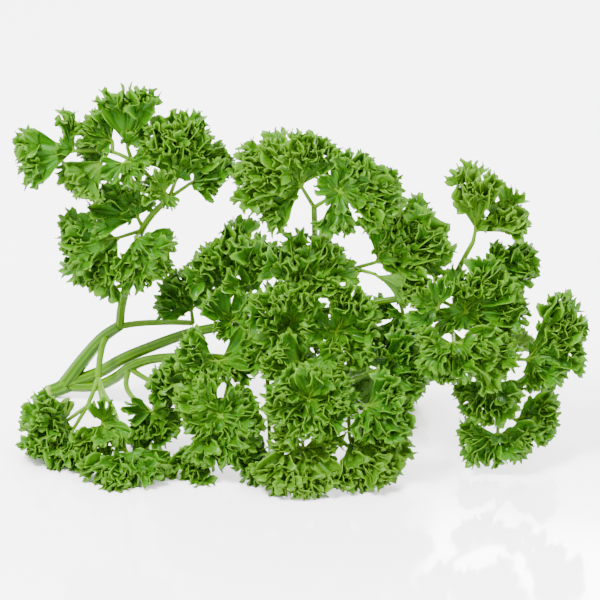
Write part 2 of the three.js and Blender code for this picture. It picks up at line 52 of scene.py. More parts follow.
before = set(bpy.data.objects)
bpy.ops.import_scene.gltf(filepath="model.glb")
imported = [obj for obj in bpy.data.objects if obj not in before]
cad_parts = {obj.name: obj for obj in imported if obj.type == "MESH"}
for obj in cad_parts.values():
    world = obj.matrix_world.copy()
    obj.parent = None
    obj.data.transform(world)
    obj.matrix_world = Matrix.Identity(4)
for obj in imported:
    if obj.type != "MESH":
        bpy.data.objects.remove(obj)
SOLID_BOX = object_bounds()

MM = 0.001
# The bunch is laid out as it is seen by an eye that looks down on the table at this angle. A place
# is (across, up, back) in millimetres: right of the middle of the view, up in the view above the
# table's front, and back along the table.
LOOK_DOWN = math.radians(25)
SIN, COS = math.sin(LOOK_DOWN), math.cos(LOOK_DOWN)
MIDDLE_ACROSS, MIDDLE_BACK = -0.1, 41.12
VIEW_MIDDLE_UP = 200 / 3

# Stalks: the radius at the first and the last place, and the places.
STALKS = {
    "crown": (2.1, 2.9, [(-86, 35.6, 80.5), (-82.2, 36.4, 80.3), (-78.4, 38.3, 79.5)]),
    "tall": (2.5, 1.75, [(-79.6, 38.2, 79.7), (-73, 46.9, 78), (-66.4, 54.2, 75), (-60.9, 58, 72)]),
    "tall_up": (1.5, 0.95, [
        (-60.9, 57.6, 72.1), (-60.3, 63.5, 71), (-58.8, 70, 69.5), (-56.5, 79.5, 66.5), (-53, 90, 63),
        (-49.3, 95.3, 61), (-43.7, 100.7, 59),
    ]),
    "tall_over": (0.85, 0.6, [
        (-43.7, 100.7, 59), (-50, 107.5, 59.5), (-56, 113, 60.3), (-62.5, 116, 61.5), (-69, 116.5, 61.5),
    ]),
    "tall_side": (1.1, 0.9, [(-60.9, 57.8, 72), (-55, 58.7, 71), (-45, 59.2, 68), (-36, 59, 64)]),
    "tall_drop": (1.15, 1.0, [(-65, 55, 75), (-66.6, 51.5, 70.5), (-67.6, 46.5, 66), (-68, 40.4, 60)]),
    "drop_left": (0.8, 0.7, [(-68, 40.4, 60), (-69.5, 36, 54), (-71.5, 31, 48)]),
    "drop_middle": (0.8, 0.7, [(-68, 40.4, 60), (-67, 35, 53), (-66.3, 31, 46)]),
    "drop_right": (0.8, 0.7, [(-68, 40.4, 60), (-65.8, 35, 53), (-62.5, 30, 44), (-60.5, 24, 34)]),
    "long": (2.1, 1.0, [
        (-79.4, 38.3, 79.7), (-68.5, 42, 77), (-60.2, 46.6, 73), (-51.7, 50.3, 69), (-36.5, 55.7, 62),
        (-18, 59, 56), (0, 61.5, 50), (26, 66, 45), (42, 69, 43), (51.2, 73.7, 43),
    ]),
    "low": (1.9, 0.9, [
        (-79.4, 37.4, 79.6), (-68.7, 37.6, 76), (-62.4, 40.4, 73), (-57.7, 43.8, 69), (-51.7, 46.3, 65),
        (-42, 47.5, 58), (-30, 47.5, 50), (-15, 45.5, 42), (-3, 41, 36), (8, 38, 31), (16, 35, 28),
    ]),
    "low_side": (0.95, 0.7, [(-57.7, 43.8, 69), (-53.5, 41, 64), (-48, 38.3, 58), (-42, 36, 51)]),
    "low_drop": (0.95, 0.75, [(-57.7, 43.8, 69), (-58.8, 38.5, 66), (-57, 34.5, 60), (-53.4, 31.9, 53)]),
    "crest": (1.15, 0.95, [(5, 62.5, 49.5), (5.2, 72, 50), (5, 86.7, 50), (4.7, 97.5, 49)]),
    "side": (0.85, 0.75, [(5.2, 72, 50), (12, 76, 49), (18, 77.2, 47.5)]),
    "right_top": (0.95, 0.75, [(51.2, 73.7, 43), (54.7, 80.7, 44), (57.6, 86, 45)]),
    "right_low": (1.0, 0.7, [(42, 69, 43), (46.5, 62.5, 41.5), (51, 55.5, 40), (61, 49, 39), (71, 47, 38.5)]),
    "right_drop": (0.8, 0.65, [(51, 55.5, 40), (57, 47, 37), (62.5, 38, 34.5), (66.5, 31, 33)]),
    "back_low": (0.9, 0.7, [(20, 65, 46), (24, 59, 54), (28, 51, 62)]),
}

# Sprays: the place where the twig leaves its stalk, the place where the leaflets join, and the
# leaflets: tip, the way the upper face looks as (across, up, near), spread in degrees, and cup.
SPRAYS = {
    "tall_left": ((-53, 90, 63), (-60.5, 87.6, 60), [
        ((-80.5, 85, 57), (0.1, 0.5, 1), 88, 0.3), ((-74, 71, 54), (-0.2, 0, 1), 88, 0.3),
    ]),
    "tall_front": ((-53.4, 89, 63.4), (-55, 87.8, 57.5), [
        ((-42.5, 82, 52), (0.2, 0.6, 1), 80, 0.4), ((-53.5, 70, 49.5), (0.2, 0.2, 1), 92, 0.4),
    ]),
    "tall_middle": ((-52.6, 90.8, 62.8), (-54.3, 94.3, 62.5), [
        ((-71, 96.5, 61), (0.1, 0.3, 1), 85, 0.35), ((-61, 106.5, 63), (0, 0.4, 1), 70, 0.35),
        ((-52.5, 102.5, 65), (0.3, 0.2, 1), 60, 0.2),
    ]),
    "tall_right": ((-43.7, 100.7, 59), (-36.5, 105.6, 59), [
        ((-22, 113.5, 58), (-0.3, 0.8, 1), 80, 0.5), ((-26.5, 101.5, 55), (0.3, 0.3, 1), 65, 0.3),
    ]),
    "tall_top": ((-43.7, 100.7, 59), (-41.5, 106.3, 59), [
        ((-46.5, 123, 57), (-0.3, -0.2, 1), 62, 0.4), ((-39, 129.5, 59), (0, -0.2, 1), 62, 0.4),
        ((-30, 122.5, 60), (0.3, -0.1, 1), 60, 0.4),
    ]),
    "tall_small": ((-44.4, 100.3, 58.5), (-45, 102, 55), [
        ((-42, 96.7, 51), (0, 0.3, 1), 85, 0.2), ((-54, 103.5, 51), (0, 0.3, 1), 84, 0.2),
        ((-47, 110, 52), (0, 0.2, 1), 76, 0.2),
    ]),
    "tall_crest": ((-56, 113, 60.3), (-57.5, 117.5, 60), [
        ((-57.5, 138, 60), (0.1, -0.2, 1), 66, 0.4), ((-50, 127, 63), (0.3, -0.2, 1), 55, 0.3),
    ]),
    "tall_inner": ((-57.5, 113.4, 60.3), (-58, 112.5, 56.5), [
        ((-67, 108, 52.5), (0, 0.3, 1), 80, 0.2), ((-56, 104.5, 52.5), (0, 0.3, 1), 75, 0.2),
        ((-49, 113, 52), (0.1, 0.3, 1), 66, 0.2),
    ]),
    "tall_crown": ((-62.5, 116, 61.5), (-62.5, 119.5, 63.5), [
        ((-69, 130, 64), (0, 0, 1), 74, 0.3), ((-74.5, 123, 61.5), (-0.2, 0.2, 1), 60, 0.3),
        ((-73, 112, 66), (-0.1, 0.2, 1), 58, 0.3),
    ]),
    "tall_hang": ((-64, 116.3, 61.6), (-65.2, 113.5, 59), [
        ((-76.5, 101.5, 56), (-0.2, 0.2, 1), 85, 0.4),
    ]),
    "tall_tip": ((-69, 116.5, 61.5), (-75.3, 116.3, 61.5), [
        ((-95, 111.5, 59), (-0.1, 0.4, 1), 84, 0.4), ((-78.6, 129.3, 62.5), (0.2, 0, 1), 36, 0.2),
    ]),
    "crest_left": ((4.7, 97.5, 49), (0.5, 104.3, 47), [
        ((-14.5, 94, 44), (-0.1, 0.3, 1), 84, 0.35), ((-22, 109.5, 45.5), (0, 0.2, 1), 72, 0.3),
        ((-8, 121.5, 47), (-0.1, -0.1, 1), 56, 0.25), ((8, 120.5, 48), (0.1, -0.1, 1), 66, 0.3),
    ]),
    "crest_right": ((4.7, 97.5, 49), (13, 102.5, 43), [
        ((21.5, 115.5, 43.5), (0, -0.1, 1), 74, 0.3), ((34, 102, 41), (0.2, 0.2, 1), 58, 0.3),
        ((32, 95.5, 38.5), (0.2, 0.3, 1), 72, 0.4), ((13, 88, 40), (-0.1, 0.2, 1), 74, 0.3),
        ((5.5, 108, 41), (0, 0.1, 1), 84, 0.3),
    ]),
    "side_top": ((18, 77.2, 47.5), (25.5, 79.3, 45), [
        ((31.5, 96.3, 44), (0, -0.1, 1), 58, 0.5), ((47.5, 92, 41), (0.3, 0.2, 1), 62, 0.4),
        ((46.5, 77.5, 38), (0.4, 0.3, 1), 58, 0.4),
    ]),
    "side_low": ((18, 77.2, 47.5), (25, 75.3, 40), [
        ((37, 65.5, 35.5), (0.8, 0.9, -0.3), 84, 0.6),
    ]),
    "centre_top": ((0, 61.7, 49.6), (-1, 70.5, 45), [
        ((-5.5, 84.5, 43.5), (-0.1, 0, 1), 74, 0.4), ((8, 88, 44), (0, 0, 1), 66, 0.4),
        ((16.5, 76.5, 41), (0.1, 0.3, 1), 66, 0.4),
    ]),
    "left_top": ((-25, 58, 58.3), (-24, 71, 59), [
        ((-36.5, 80, 57), (0, 0, 1), 70, 0.3), ((-27, 87, 59), (0, -0.1, 1), 48, 0.3),
        ((-18, 91.5, 59), (0, -0.1, 1), 46, 0.4),
    ]),
    "left_inner": ((-18, 59.3, 56), (-16.5, 69, 52.5), [
        ((-13, 87.5, 52), (0, 0, 1), 66, 0.4), ((-24.5, 76, 49.5), (-0.2, 0, 1), 70, 0.4),
    ]),
    "left_side": ((-36, 59, 64), (-36.5, 63, 63), [
        ((-49, 66, 60), (0, 0.3, 1), 84, 0.3), ((-42.5, 76, 62), (0, 0, 1), 56, 0.3),
        ((-32, 75.5, 61.5), (0, 0, 1), 66, 0.4),
    ]),
    "left_heart": ((-23, 58.2, 57.5), (-23, 59.5, 51.5), [
        ((-32, 68.5, 50), (-0.1, 0.2, 1), 74, 0.4), ((-14, 65.5, 45.5), (0.1, 0.2, 1), 74, 0.4),
        ((-27, 53.5, 43.5), (0, 0.3, 1), 80, 0.4),
    ]),
    "centre": ((-5, 60.8, 51.3), (-3.5, 57.5, 43.5), [
        ((-14.5, 69, 38.5), (0, 0.1, 1), 74, 0.4), ((0.5, 71.5, 37), (0, 0.1, 1), 66, 0.4),
        ((-13.5, 55, 35), (-0.1, 0.3, 1), 80, 0.4), ((4, 45, 37), (0.1, 0.3, 1), 80, 0.4),
    ]),
    "centre_right": ((12, 63.6, 47.6), (12, 56, 41), [
        ((20.5, 70, 37.5), (0, 0, 1), 58, 0.3), ((27, 58.5, 36), (0.1, 0.2, 1), 60, 0.3),
        ((12.5, 49, 31.5), (0, 0.3, 1), 66, 0.4), ((25, 47, 35), (0.1, 0.3, 1), 74, 0.4),
        ((0, 58.5, 36), (0, 0.2, 1), 74, 0.3),
    ]),
    "right_centre": ((33, 67.3, 44.2), (34.5, 62, 45.5), [
        ((24, 63.5, 47.5), (0, 0.2, 1), 66, 0.3), ((27.5, 49.5, 43), (0, 0.3, 1), 66, 0.3),
        ((39.5, 49.5, 42), (0.1, 0.2, 1), 66, 0.3),
    ]),
    "front_top": ((-3, 41, 36), (0, 45.5, 33.5), [
        ((-9, 50.5, 28), (0, 0.5, 1), 76, 0.4), ((2, 40, 24.5), (0, 0.5, 1), 76, 0.4),
        ((14.5, 41, 26.5), (0.2, 0.5, 1), 76, 0.4), ((-11.5, 39, 25), (0, 0.5, 1), 74, 0.4),
    ]),
    "left_low": ((-30, 47.5, 50), (-27.5, 45.8, 43), [
        ((-41.5, 49, 39), (0, 0.3, 1), 80, 0.4), ((-11, 51.5, 38), (0, 0.4, 1), 74, 0.4),
        ((-19, 39, 33), (0.1, 0.4, 1), 70, 0.4), ((-31.5, 38.5, 34.5), (0, 0.4, 1), 66, 0.4),
    ]),
    "left_back": ((-42, 36, 51), (-38, 33.5, 44.5), [
        ((-49.5, 42.5, 42.5), (0, 0.3, 1), 80, 0.4), ((-36, 27, 35), (0, 0.4, 1), 80, 0.4),
        ((-41, 46.5, 40), (0, 0.2, 1), 66, 0.3),
    ]),
    "front_heart": ((2, 39.8, 33.6), (3, 33.5, 23), [
        ((-8.5, 38.5, 18.5), (-0.2, 0.5, 1), 74, 0.5), ((6, 45, 20), (0, 0.2, 1), 74, 0.5),
        ((18, 33.5, 17.5), (0.2, 0.4, 1), 76, 0.5), ((-6.5, 22, 11.5), (-0.1, 0.5, 1), 74, 0.5),
        ((9.5, 20.5, 11), (0.1, 0.5, 1), 74, 0.5), ((-12, 30, 16), (-0.1, 0.5, 1), 66, 0.5),
    ]),
    "front_low": ((0, 40, 34.6), (1, 17.5, 18), [
        ((-8, 1.5, 1.5), (-0.1, 0.6, 1), 72, 0.4), ((8, 1, 1.5), (0.1, 0.6, 1), 72, 0.4),
        ((14, 18, 14), (0.2, 0.3, 1), 80, 0.4), ((-10.5, 20.5, 14), (0, 0.4, 1), 72, 0.4),
    ]),
    "front_right": ((16, 35, 28), (16.5, 20.5, 21), [
        ((23, 2.8, 5.5), (0, 0.6, 1), 72, 0.4), ((33.5, 8, 11.5), (0.2, 0.6, 1), 74, 0.4),
        ((33, 25, 17), (0.3, 0.3, 1), 70, 0.4),
    ]),
    "right_heart": ((16, 35, 28), (22, 31, 19), [
        ((34.5, 37, 14), (0.2, 0.3, 1), 72, 0.5), ((38, 23.5, 12), (0.2, 0.4, 1), 72, 0.5),
        ((21.5, 20, 10.5), (0, 0.4, 1), 76, 0.5),
    ]),
    "right_dark": ((10, 37.4, 30.3), (26, 43.5, 33.5), [
        ((40, 51, 32.5), (0.1, 0.1, 1), 72, 0.4), ((42.5, 38.5, 29.5), (0.2, 0.3, 1), 72, 0.4),
        ((24, 51.5, 28.5), (0, 0.2, 1), 60, 0.4),
    ]),
    "front_left": ((-11, 44.4, 40), (-10, 15.5, 22.5), [
        ((-21.5, 17.5, 18), (-0.1, 0.6, 1), 80, 0.4), ((-16.5, 5.5, 9.5), (0, 0.6, 1), 84, 0.4),
    ]),
    "left_front": ((-22, 46.8, 45.8), (-26.5, 28, 25), [
        ((-37.5, 21, 19), (-0.1, 0.5, 1), 76, 0.5), ((-28, 9.5, 13), (0, 0.5, 1), 80, 0.5),
        ((-15, 19, 14.5), (0.2, 0.5, 1), 76, 0.5), ((-38, 40, 30), (-0.2, 0.1, 1), 80, 0.5),
        ((-15.5, 36.5, 27), (0.2, 0.1, 1), 80, 0.5),
    ]),
    "left_under": ((-28, 47.3, 48.8), (-30.5, 17.5, 29), [
        ((-39.5, 4.5, 13.5), (0, 0.7, 1), 66, 0.3),
    ]),
    "drop_far": ((-71.5, 31, 48), (-76, 23.5, 44.5), [
        ((-92, 16.5, 36), (-0.3, 0.7, 1), 92, 0.4), ((-83, 9.6, 22), (0, 0.6, 1), 84, 0.4),
        ((-91, 29, 36), (-0.3, 0.3, 1), 66, 0.4),
    ]),
    "drop_pale": ((-71.5, 31, 48), (-79.5, 25.3, 44.5), [
        ((-89, 32.5, 47), (0.3, 0.3, -1), 66, 0.3), ((-78, 34, 50), (-0.2, 0.3, -1), 50, 0.3),
    ]),
    "drop_heart": ((-66.3, 31, 46), (-66, 25.5, 34), [
        ((-71, 14, 24), (-0.1, 0.5, 1), 80, 0.5), ((-60, 17, 21), (0.1, 0.5, 1), 80, 0.5),
        ((-66, 34, 31.5), (0, -0.1, 1), 70, 0.5),
    ]),
    "drop_right": ((-53.4, 31.9, 53), (-49.5, 29, 44.5), [
        ((-41.5, 21, 35), (0.2, 0.4, 1), 76, 0.4), ((-52.5, 15.5, 33), (0, 0.4, 1), 80, 0.4),
        ((-59, 29.5, 38), (-0.2, 0.2, 1), 70, 0.4), ((-44, 34, 40), (0.2, 0.1, 1), 66, 0.4),
    ]),
    "drop_under": ((-60.5, 24, 34), (-58, 16, 23.5), [
        ((-68, 4, 9.5), (-0.1, 0.7, 1), 72, 0.3), ((-55, 3.7, 8.8), (0, 0.7, 1), 72, 0.3),
        ((-44.5, 8, 15.5), (0.2, 0.6, 1), 66, 0.3),
    ]),
    "right_crest": ((57.6, 86, 45), (58.3, 89.5, 45.3), [
        ((58, 110.5, 45), (-0.2, -0.2, 1), 50, 0.6), ((76, 95.5, 43), (-0.1, 0.5, 1), 64, 0.5),
    ]),
    "right_back": ((51.2, 73.7, 43), (63, 77, 48), [
        ((67, 86, 48), (0, 0, 1), 42, 0.2), ((78.5, 84, 48), (0.2, -0.2, 1), 56, 0.4),
        ((77.5, 73.5, 46), (0.3, 0.3, 1), 60, 0.4),
    ]),
    "right_big": ((42, 69, 43), (55, 62.5, 39), [
        ((55, 76.5, 37), (0, 0, 1), 62, 0.3), ((68.5, 77, 37), (0.1, 0.1, 1), 62, 0.3),
        ((75.5, 65, 35), (0.2, 0.2, 1), 60, 0.3), ((70, 52.5, 33), (0.1, 0.3, 1), 66, 0.4),
        ((45, 57, 35), (-0.1, 0.3, 1), 74, 0.4),
    ]),
    "right_inner": ((42, 69, 43), (46, 63.8, 32.5), [
        ((36, 67.5, 30.5), (-0.1, 0.2, 1), 70, 0.4), ((37.5, 56.5, 28.5), (0, 0.4, 1), 70, 0.4),
        ((47.5, 74.5, 31), (0, 0.2, 1), 56, 0.4),
    ]),
    "right_middle": ((51, 55.5, 40), (51, 52.5, 27.5), [
        ((40, 49.5, 17.5), (-0.1, 0.4, 1), 70, 0.4), ((45.5, 38.5, 19), (0, 0.4, 1), 76, 0.4),
        ((58, 40, 19), (0.1, 0.4, 1), 70, 0.4), ((65, 51, 21), (0.1, 0.3, 1), 66, 0.4),
        ((71, 42, 22), (0.1, 0.4, 1), 70, 0.4),
    ]),
    "right_far": ((71, 47, 38.5), (75.5, 46.8, 33), [
        ((92, 65, 33), (0.2, -0.1, 1), 46, 0.4), ((94.5, 52.5, 30), (0.3, 0, 1), 56, 0.4),
        ((88.5, 40.5, 28), (0.3, 0.2, 1), 58, 0.4), ((79.5, 35, 28.5), (0.1, 0.3, 1), 50, 0.3),
    ]),
    "right_pale": ((69, 47.2, 39.3), (70.5, 49.5, 44), [
        ((65.5, 55.5, 47.5), (0, 0.3, -1), 78, 0.3), ((78, 54.5, 49), (0, 0.3, -1), 78, 0.3),
    ]),
    "right_fall": ((60, 42.3, 36), (63.5, 39.5, 31.5), [
        ((53, 31, 24), (-0.1, 0.4, 1), 74, 0.4), ((62.5, 24.5, 21.5), (0, 0.4, 1), 76, 0.4),
        ((73, 32.5, 24.5), (0.2, 0.4, 1), 70, 0.4),
    ]),
    "right_foot": ((66.5, 31, 33), (66, 22, 28), [
        ((52.5, 18, 24), (-0.1, 0.5, 1), 80, 0.4), ((61, 11.5, 19.5), (0, 0.6, 1), 76, 0.4),
        ((75, 13.5, 20.5), (0.1, 0.5, 1), 76, 0.4), ((79.5, 20, 23), (0.3, 0.4, 1), 62, 0.4),
    ]),
    "right_wing": ((66.5, 31, 33), (72, 26.5, 34), [
        ((86.5, 33, 34), (0.4, 0.4, 1), 42, 0.5), ((86, 22, 31), (0.4, 0.5, 1), 66, 0.4),
    ]),
    "back_foot": ((28, 51, 62), (30, 43, 67), [
        ((20, 33, 74), (0, 0.3, -1), 76, 0.4), ((34, 31, 75), (0, 0.3, -1), 76, 0.4),
        ((44, 40, 70), (0.1, 0.3, -1), 76, 0.4),
    ]),
}

# Leaflets, as in the part: the share of the way that is stem, the lobes, and how they wave.
LEAF_STEM_SHARE = 0.13
BLADE_START = 0.05
LOBES = 3
LOBE_TILT = 0.14
LOBE_LENGTH_SPREAD = 0.1
LOBE_FULLNESS = 0.6
SIDE_SHORTER = 0.1
# Finer than the part: each lobe is two halves with short teeth, this wide.
HALVES = 2
TOOTH = 1.9 * MM
MOST_TEETH = 4
TOOTH_PEAK, TOOTH_COLUMNS = 0.38, 4
TOOTH_LENGTH_SPREAD, TOOTH_CUT_IN = 0.25, 0.75
WAVES_PER_HALF = 0.75
TIP_CURL_FROM, TIP_CURL_LEAST = 0.55, 0.3
# The blade's first width, how much thicker it is there, and how plain the veins of side teeth are.
FIRST_WIDTH, THICKER_BASE, SIDE_VEIN = 0.02, 0.8, 0.45
RINGS = (0.0, 0.2, 0.42, 0.62, 0.78, 0.9, 1.0)
# Share that is left of what reaches past the part's own box.
PAST_BOX = 0.35
# How far the margin reaches over one lobe, from cut to cut.
LOBE_PLACES = (0.0, 0.12, 0.25, 0.38, 0.5, 0.62, 0.75, 0.88, 1.0)
LOBE_REACH = (0.7, 0.9, 1.0, 0.95, 0.82, 0.95, 1.02, 0.91, 0.7)
# Small toothed lobes curl up from the blade in rows, from just inside its margin towards its base. The
# rows stop at a share of the reach that is drawn for each leaflet, so that some leaflets stay barer.
CURL_LOBES, CURL_TEETH, CURL_TOOTH_COLUMNS = 2, 3, 3
CURL_RINGS = (0.0, 0.4, 0.75, 1.0)
CURL_INSIDE = 5.9 * MM
CURL_ROW = 3.1 * MM
CURL_GAP = 4.6 * MM
CURL_HALF = math.radians(56)
CURL_BARE_LEAST, CURL_BARE_SPREAD = 0.14, 0.46
CURL_TURN_MOST, CURL_TURN_SPREAD = 0.92, 0.12
CURL_YAW_SPREAD = CURL_ROLL_SPREAD = 0.45
CURL_RISE_SPREAD, CURL_FLATTER_OUT = 0.3, 0.55
CURL_SIZE_SPREAD = 0.22
CURL_CUP_LEAST, CURL_CUP_SPREAD = 0.1, 0.4
# In the outermost row one curl of so many hangs down.
CURL_HANGS_OF = 3
# The corners between two leaflets of a spray that hold a curl of their own.
HUB_LEAST, HUB_MOST = math.radians(25), math.radians(150)
HUB_RISE, HUB_RISE_SPREAD, HUB_CUP = 0.25, 0.2, 0.3
# The share of fresh green in a leaflet, and how it varies.
TINT, TINT_SPREAD = 0.3, 0.25
CURL_FRESHER, CURL_TINT_SPREAD = 0.1, 0.22
HUB_TINT, HUB_TINT_SPREAD = 0.25, 0.2
# How near to a margin's colour a curl starts: at the base of a blade, further out on it, in a corner.
CURL_START, CURL_START_OUT, HUB_START = 0.3, 0.4, 0.25
# How far apart the seeds of sprays and of their leaflets are, and where those of the corners start.
SPRAY_SEEDS, LEAFLET_SEEDS, HUB_SEEDS = 100, 7, 900
# How pale a spray is, up to 1, which is partly its own paler leaf and partly painted light where it faces the
# light, or how dark, down to -1, which is painted shade where it stands in the shade.
PALE_SPRAYS = {
    "right_pale": 1.0, "drop_pale": 0.8, "drop_heart": 0.2, "right_crest": 0.4,
    "front_low": 0.45, "front_right": 0.4, "tall_small": 0.25, "tall_hang": 0.25,
    "crest_left": 0.15, "left_heart": -0.7, "left_side": -0.6, "left_back": -0.5,
    "front_left": -0.7, "drop_under": -0.4, "right_dark": -0.8, "right_heart": -0.5,
    "right_inner": -0.3, "tall_middle": -0.4,
}
# Stems: radii at both ends, and the share along the bunch that turns their colour to the twigs'.
TWIG_RADIUS, TWIG_END_RADIUS, TWIG_ALONG = 0.7, 0.55, 0.8
LEAF_STEM_RADIUS, LEAF_STEM_END_RADIUS, LEAF_STEM_ALONG = 0.55, 0.38, 0.9
LEAF_STEM_OVERLAP = 0.1
# A stalk of this radius would have no such share. Points between two places, and round a rib.
STOUTEST = 3.2
SPAN_POINTS, POINTS_PER_RIB = 16, 4
# The first ring of a tube is the cut end where it lies this near to the foot of the bunch.
CUT_REACH = 2.7 * MM
# What lies on the table is pressed together over this height.
PRESSED = 0.6 * MM
# Gloss, and the share and colour of the light that comes through a blade.
LEAF_GLOSS, STALK_GLOSS, GLOW_SHARE = 0.2, 0.1, 0.46
LEAF_GLOW = (0.1, 0.27, 0.01, 1)
# Studio: each light's place in metres, its size and its power.
TABLE_REACH = 4.0
TABLE_DROP = 0.05 * MM
TABLE_ROUGHNESS = 0.07
TABLE_IOR = 1.9
SKY_STRENGTH = 3.4
SENSOR = 36
LIGHTS = {
    "key": ((-0.45, -0.35, 0.85), 0.3, 40.0),
    "fill": ((0.7, -0.5, 0.5), 0.5, 9.0),
    "rim": ((0.25, 0.75, 0.7), 0.5, 22.0),
}

# A blade's root, three directions, reach, half its spread as an angle, and its cup.
BladeFrame = namedtuple("BladeFrame", "root along up side reach half cup")


def at(place):
    """A layout place as a point of the part, in metres."""
    across, up, back = place
    return np.array((across - MIDDLE_ACROSS, back - MIDDLE_BACK, (up - back * SIN) / COS)) * MM


def towards(direction):
    """A layout direction (across, up, near) as a direction of the part."""
    across, up, near = direction
    way = np.array((across, up * SIN - near * COS, up * COS + near * SIN))
    return way / np.linalg.norm(way)


def draw(index):
    """A repeatable number from 0 to 1 for each whole number."""
    return ((index * 9301 + 49297) % 233280) / 233280


def spread_draw(index):
    return 2 * draw(index) - 1


# Colours


def group_tree(name, inputs, outputs):
    tree = bpy.data.node_groups.new(name, "ShaderNodeTree")
    for title, kind, value in inputs:
        socket = tree.interface.new_socket(title, in_out="INPUT", socket_type=kind)
        socket.default_value = value
    for title, kind in outputs:
        tree.interface.new_socket(title, in_out="OUTPUT", socket_type=kind)
    return tree, tree.nodes.new("NodeGroupInput"), tree.nodes.new("NodeGroupOutput")


def add(tree, kind, **settings):
    node = tree.nodes.new(kind)
    for key, value in settings.items():
        setattr(node, key, value)
    return node


def feed(tree, node, values):
    """Sets a node's inputs by name or number, from sockets or plain values."""
    for key, value in values.items():
        if isinstance(value, bpy.types.NodeSocket):
            tree.links.new(value, node.inputs[key])
        else:
            node.inputs[key].default_value = value
    return node


def mix_colour(tree, factor, first, second):
    node = add(tree, "ShaderNodeMix", data_type="RGBA", blend_type="MIX")
    feed(tree, node, {0: factor, 6: first, 7: second})
    return node.outputs[2]


def maths(tree, kind, first, second):
    node = add(tree, "ShaderNodeMath", operation=kind)
    feed(tree, node, {0: first, 1: second})
    return node.outputs[0]


def ranged(tree, value, low, high, to_low, to_high):
    node = add(tree, "ShaderNodeMapRange")
    limits = {"From Min": low, "From Max": high, "To Min": to_low, "To Max": to_high}
    feed(tree, node, {"Value": value, **limits})
    return node.outputs["Result"]


def noise(tree, scale, detail=2.0, roughness=0.5):
    places = add(tree, "ShaderNodeTexCoord")
    node = add(tree, "ShaderNodeTexNoise")
    feed(tree, node, {"Vector": places.outputs["Object"]})
    feed(tree, node, {"Scale": scale, "Detail": detail, "Roughness": roughness})
    return node.outputs["Fac"]


def attribute(tree, name):
    return add(tree, "ShaderNodeAttribute", attribute_name=name).outputs["Fac"]


def leaf_colour_group(settings):
    """The colour of a blade: mottled green, pale veins and base, lighter tips that are partly a painted
    highlight, a paler underside, painted shade on its inner parts, and for each spray painted shade or a
    paler green that is partly painted light.
    """
    colours = {
        "Deep": settings.deep_green,
        "Fresh": settings.fresh_green,
        "Vein": settings.vein_green,
        "Tip": settings.tip_green_and_highlight,
        "Underside": settings.under_green,
    }
    tree, given, out = group_tree(
        "Parsley leaf colour",
        [(name, "NodeSocketColor", (*colour, 1)) for name, colour in colours.items()],
        [("Colour", "NodeSocketColor"), ("Height", "NodeSocketFloat")],
    )
    read = {name: attribute(tree, name) for name in ("vein", "reach", "tint", "under", "pale")}
    mottle = noise(tree, 900.0, 3.0, 0.6)
    grown = maths(tree, "ADD", ranged(tree, mottle, 0.3, 0.7, -0.25, 0.25), read["tint"])
    # Fresher towards the margin: partly younger leaf, partly painted shade that darkens the inner parts of a
    # leaflet between its curls.
    young_and_unshaded = ranged(tree, read["reach"], 0.35, 1.0, 0.0, 0.3)
    shaded = ranged(tree, read["pale"], -1.0, 0.0, -0.4, 0.0)
    share = maths(tree, "ADD", grown, maths(tree, "ADD", young_and_unshaded, shaded))
    clamped = add(tree, "ShaderNodeClamp")
    feed(tree, clamped, {"Value": share})
    green = mix_colour(tree, clamped.outputs[0], given.outputs["Deep"], given.outputs["Fresh"])
    base = ranged(tree, read["reach"], 0.0, 0.4, 0.65, 0.0)
    vein = maths(tree, "MULTIPLY", read["vein"], ranged(tree, read["reach"], 0.2, 0.95, 0.75, 0.15))
    marked = mix_colour(tree, maths(tree, "MAXIMUM", base, vein), green, given.outputs["Vein"])
    # Ends of the teeth: partly their own paler green, partly a painted highlight.
    tipped_and_highlit = mix_colour(tree, ranged(tree, read["reach"], 0.85, 1.0, 0.0, 0.5), marked, given.outputs["Tip"])
    below = mix_colour(tree, maths(tree, "MULTIPLY", read["under"], 0.6), tipped_and_highlit, given.outputs["Underside"])
    # Paler sprays: partly their own paler leaf, partly painted light.
    paler_and_lit = mix_colour(tree, ranged(tree, read["pale"], 0.0, 1.0, 0.0, 0.55), below, given.outputs["Vein"])
    tree.links.new(paler_and_lit, out.inputs["Colour"])
    crinkle = noise(tree, 1000.0, 2.0, 0.6)
    height = maths(tree, "SUBTRACT", crinkle, maths(tree, "MULTIPLY", read["vein"], 0.8))
    tree.links.new(height, out.inputs["Height"])
    return tree


def new_material(name):
    material = bpy.data.materials.new(name)
    material.use_nodes = True
    tree = material.node_tree
    tree.nodes.clear()
    return material, tree, add(tree, "ShaderNodeOutputMaterial")


def shine(tree, colour, height, strength, depth, roughness, gloss):
    """A glossy surface with small bumps of this depth in metres."""
    bump = add(tree, "ShaderNodeBump")
    feed(tree, bump, {"Strength": strength, "Distance": depth, "Height": height})
    surface = add(tree, "ShaderNodeBsdfPrincipled")
    feed(tree, surface, {"Base Color": colour, "Roughness": roughness})
    return feed(tree, surface, {"Specular IOR Level": gloss, "Normal": bump.outputs[0]}).outputs[0]


def leaf_material(settings):
    """Blade: glossy, and lit through from behind."""
    material, tree, out = new_material("Parsley leaf")
    group = add(tree, "ShaderNodeGroup", node_tree=leaf_colour_group(settings))
    colour, height = group.outputs["Colour"], group.outputs["Height"]
    roughness = ranged(tree, noise(tree, 500.0), 0.3, 0.7, 0.2, 0.38)
    face = shine(tree, colour, height, 0.6, 0.3 * MM, roughness, LEAF_GLOSS)
    lit = mix_colour(tree, 0.55, colour, LEAF_GLOW)
    glow = feed(tree, add(tree, "ShaderNodeBsdfTranslucent"), {"Color": lit})
    both = feed(tree, add(tree, "ShaderNodeMixShader"), {0: GLOW_SHARE, 1: face, 2: glow.outputs[0]})
    tree.links.new(both.outputs[0], out.inputs["Surface"])
    return material


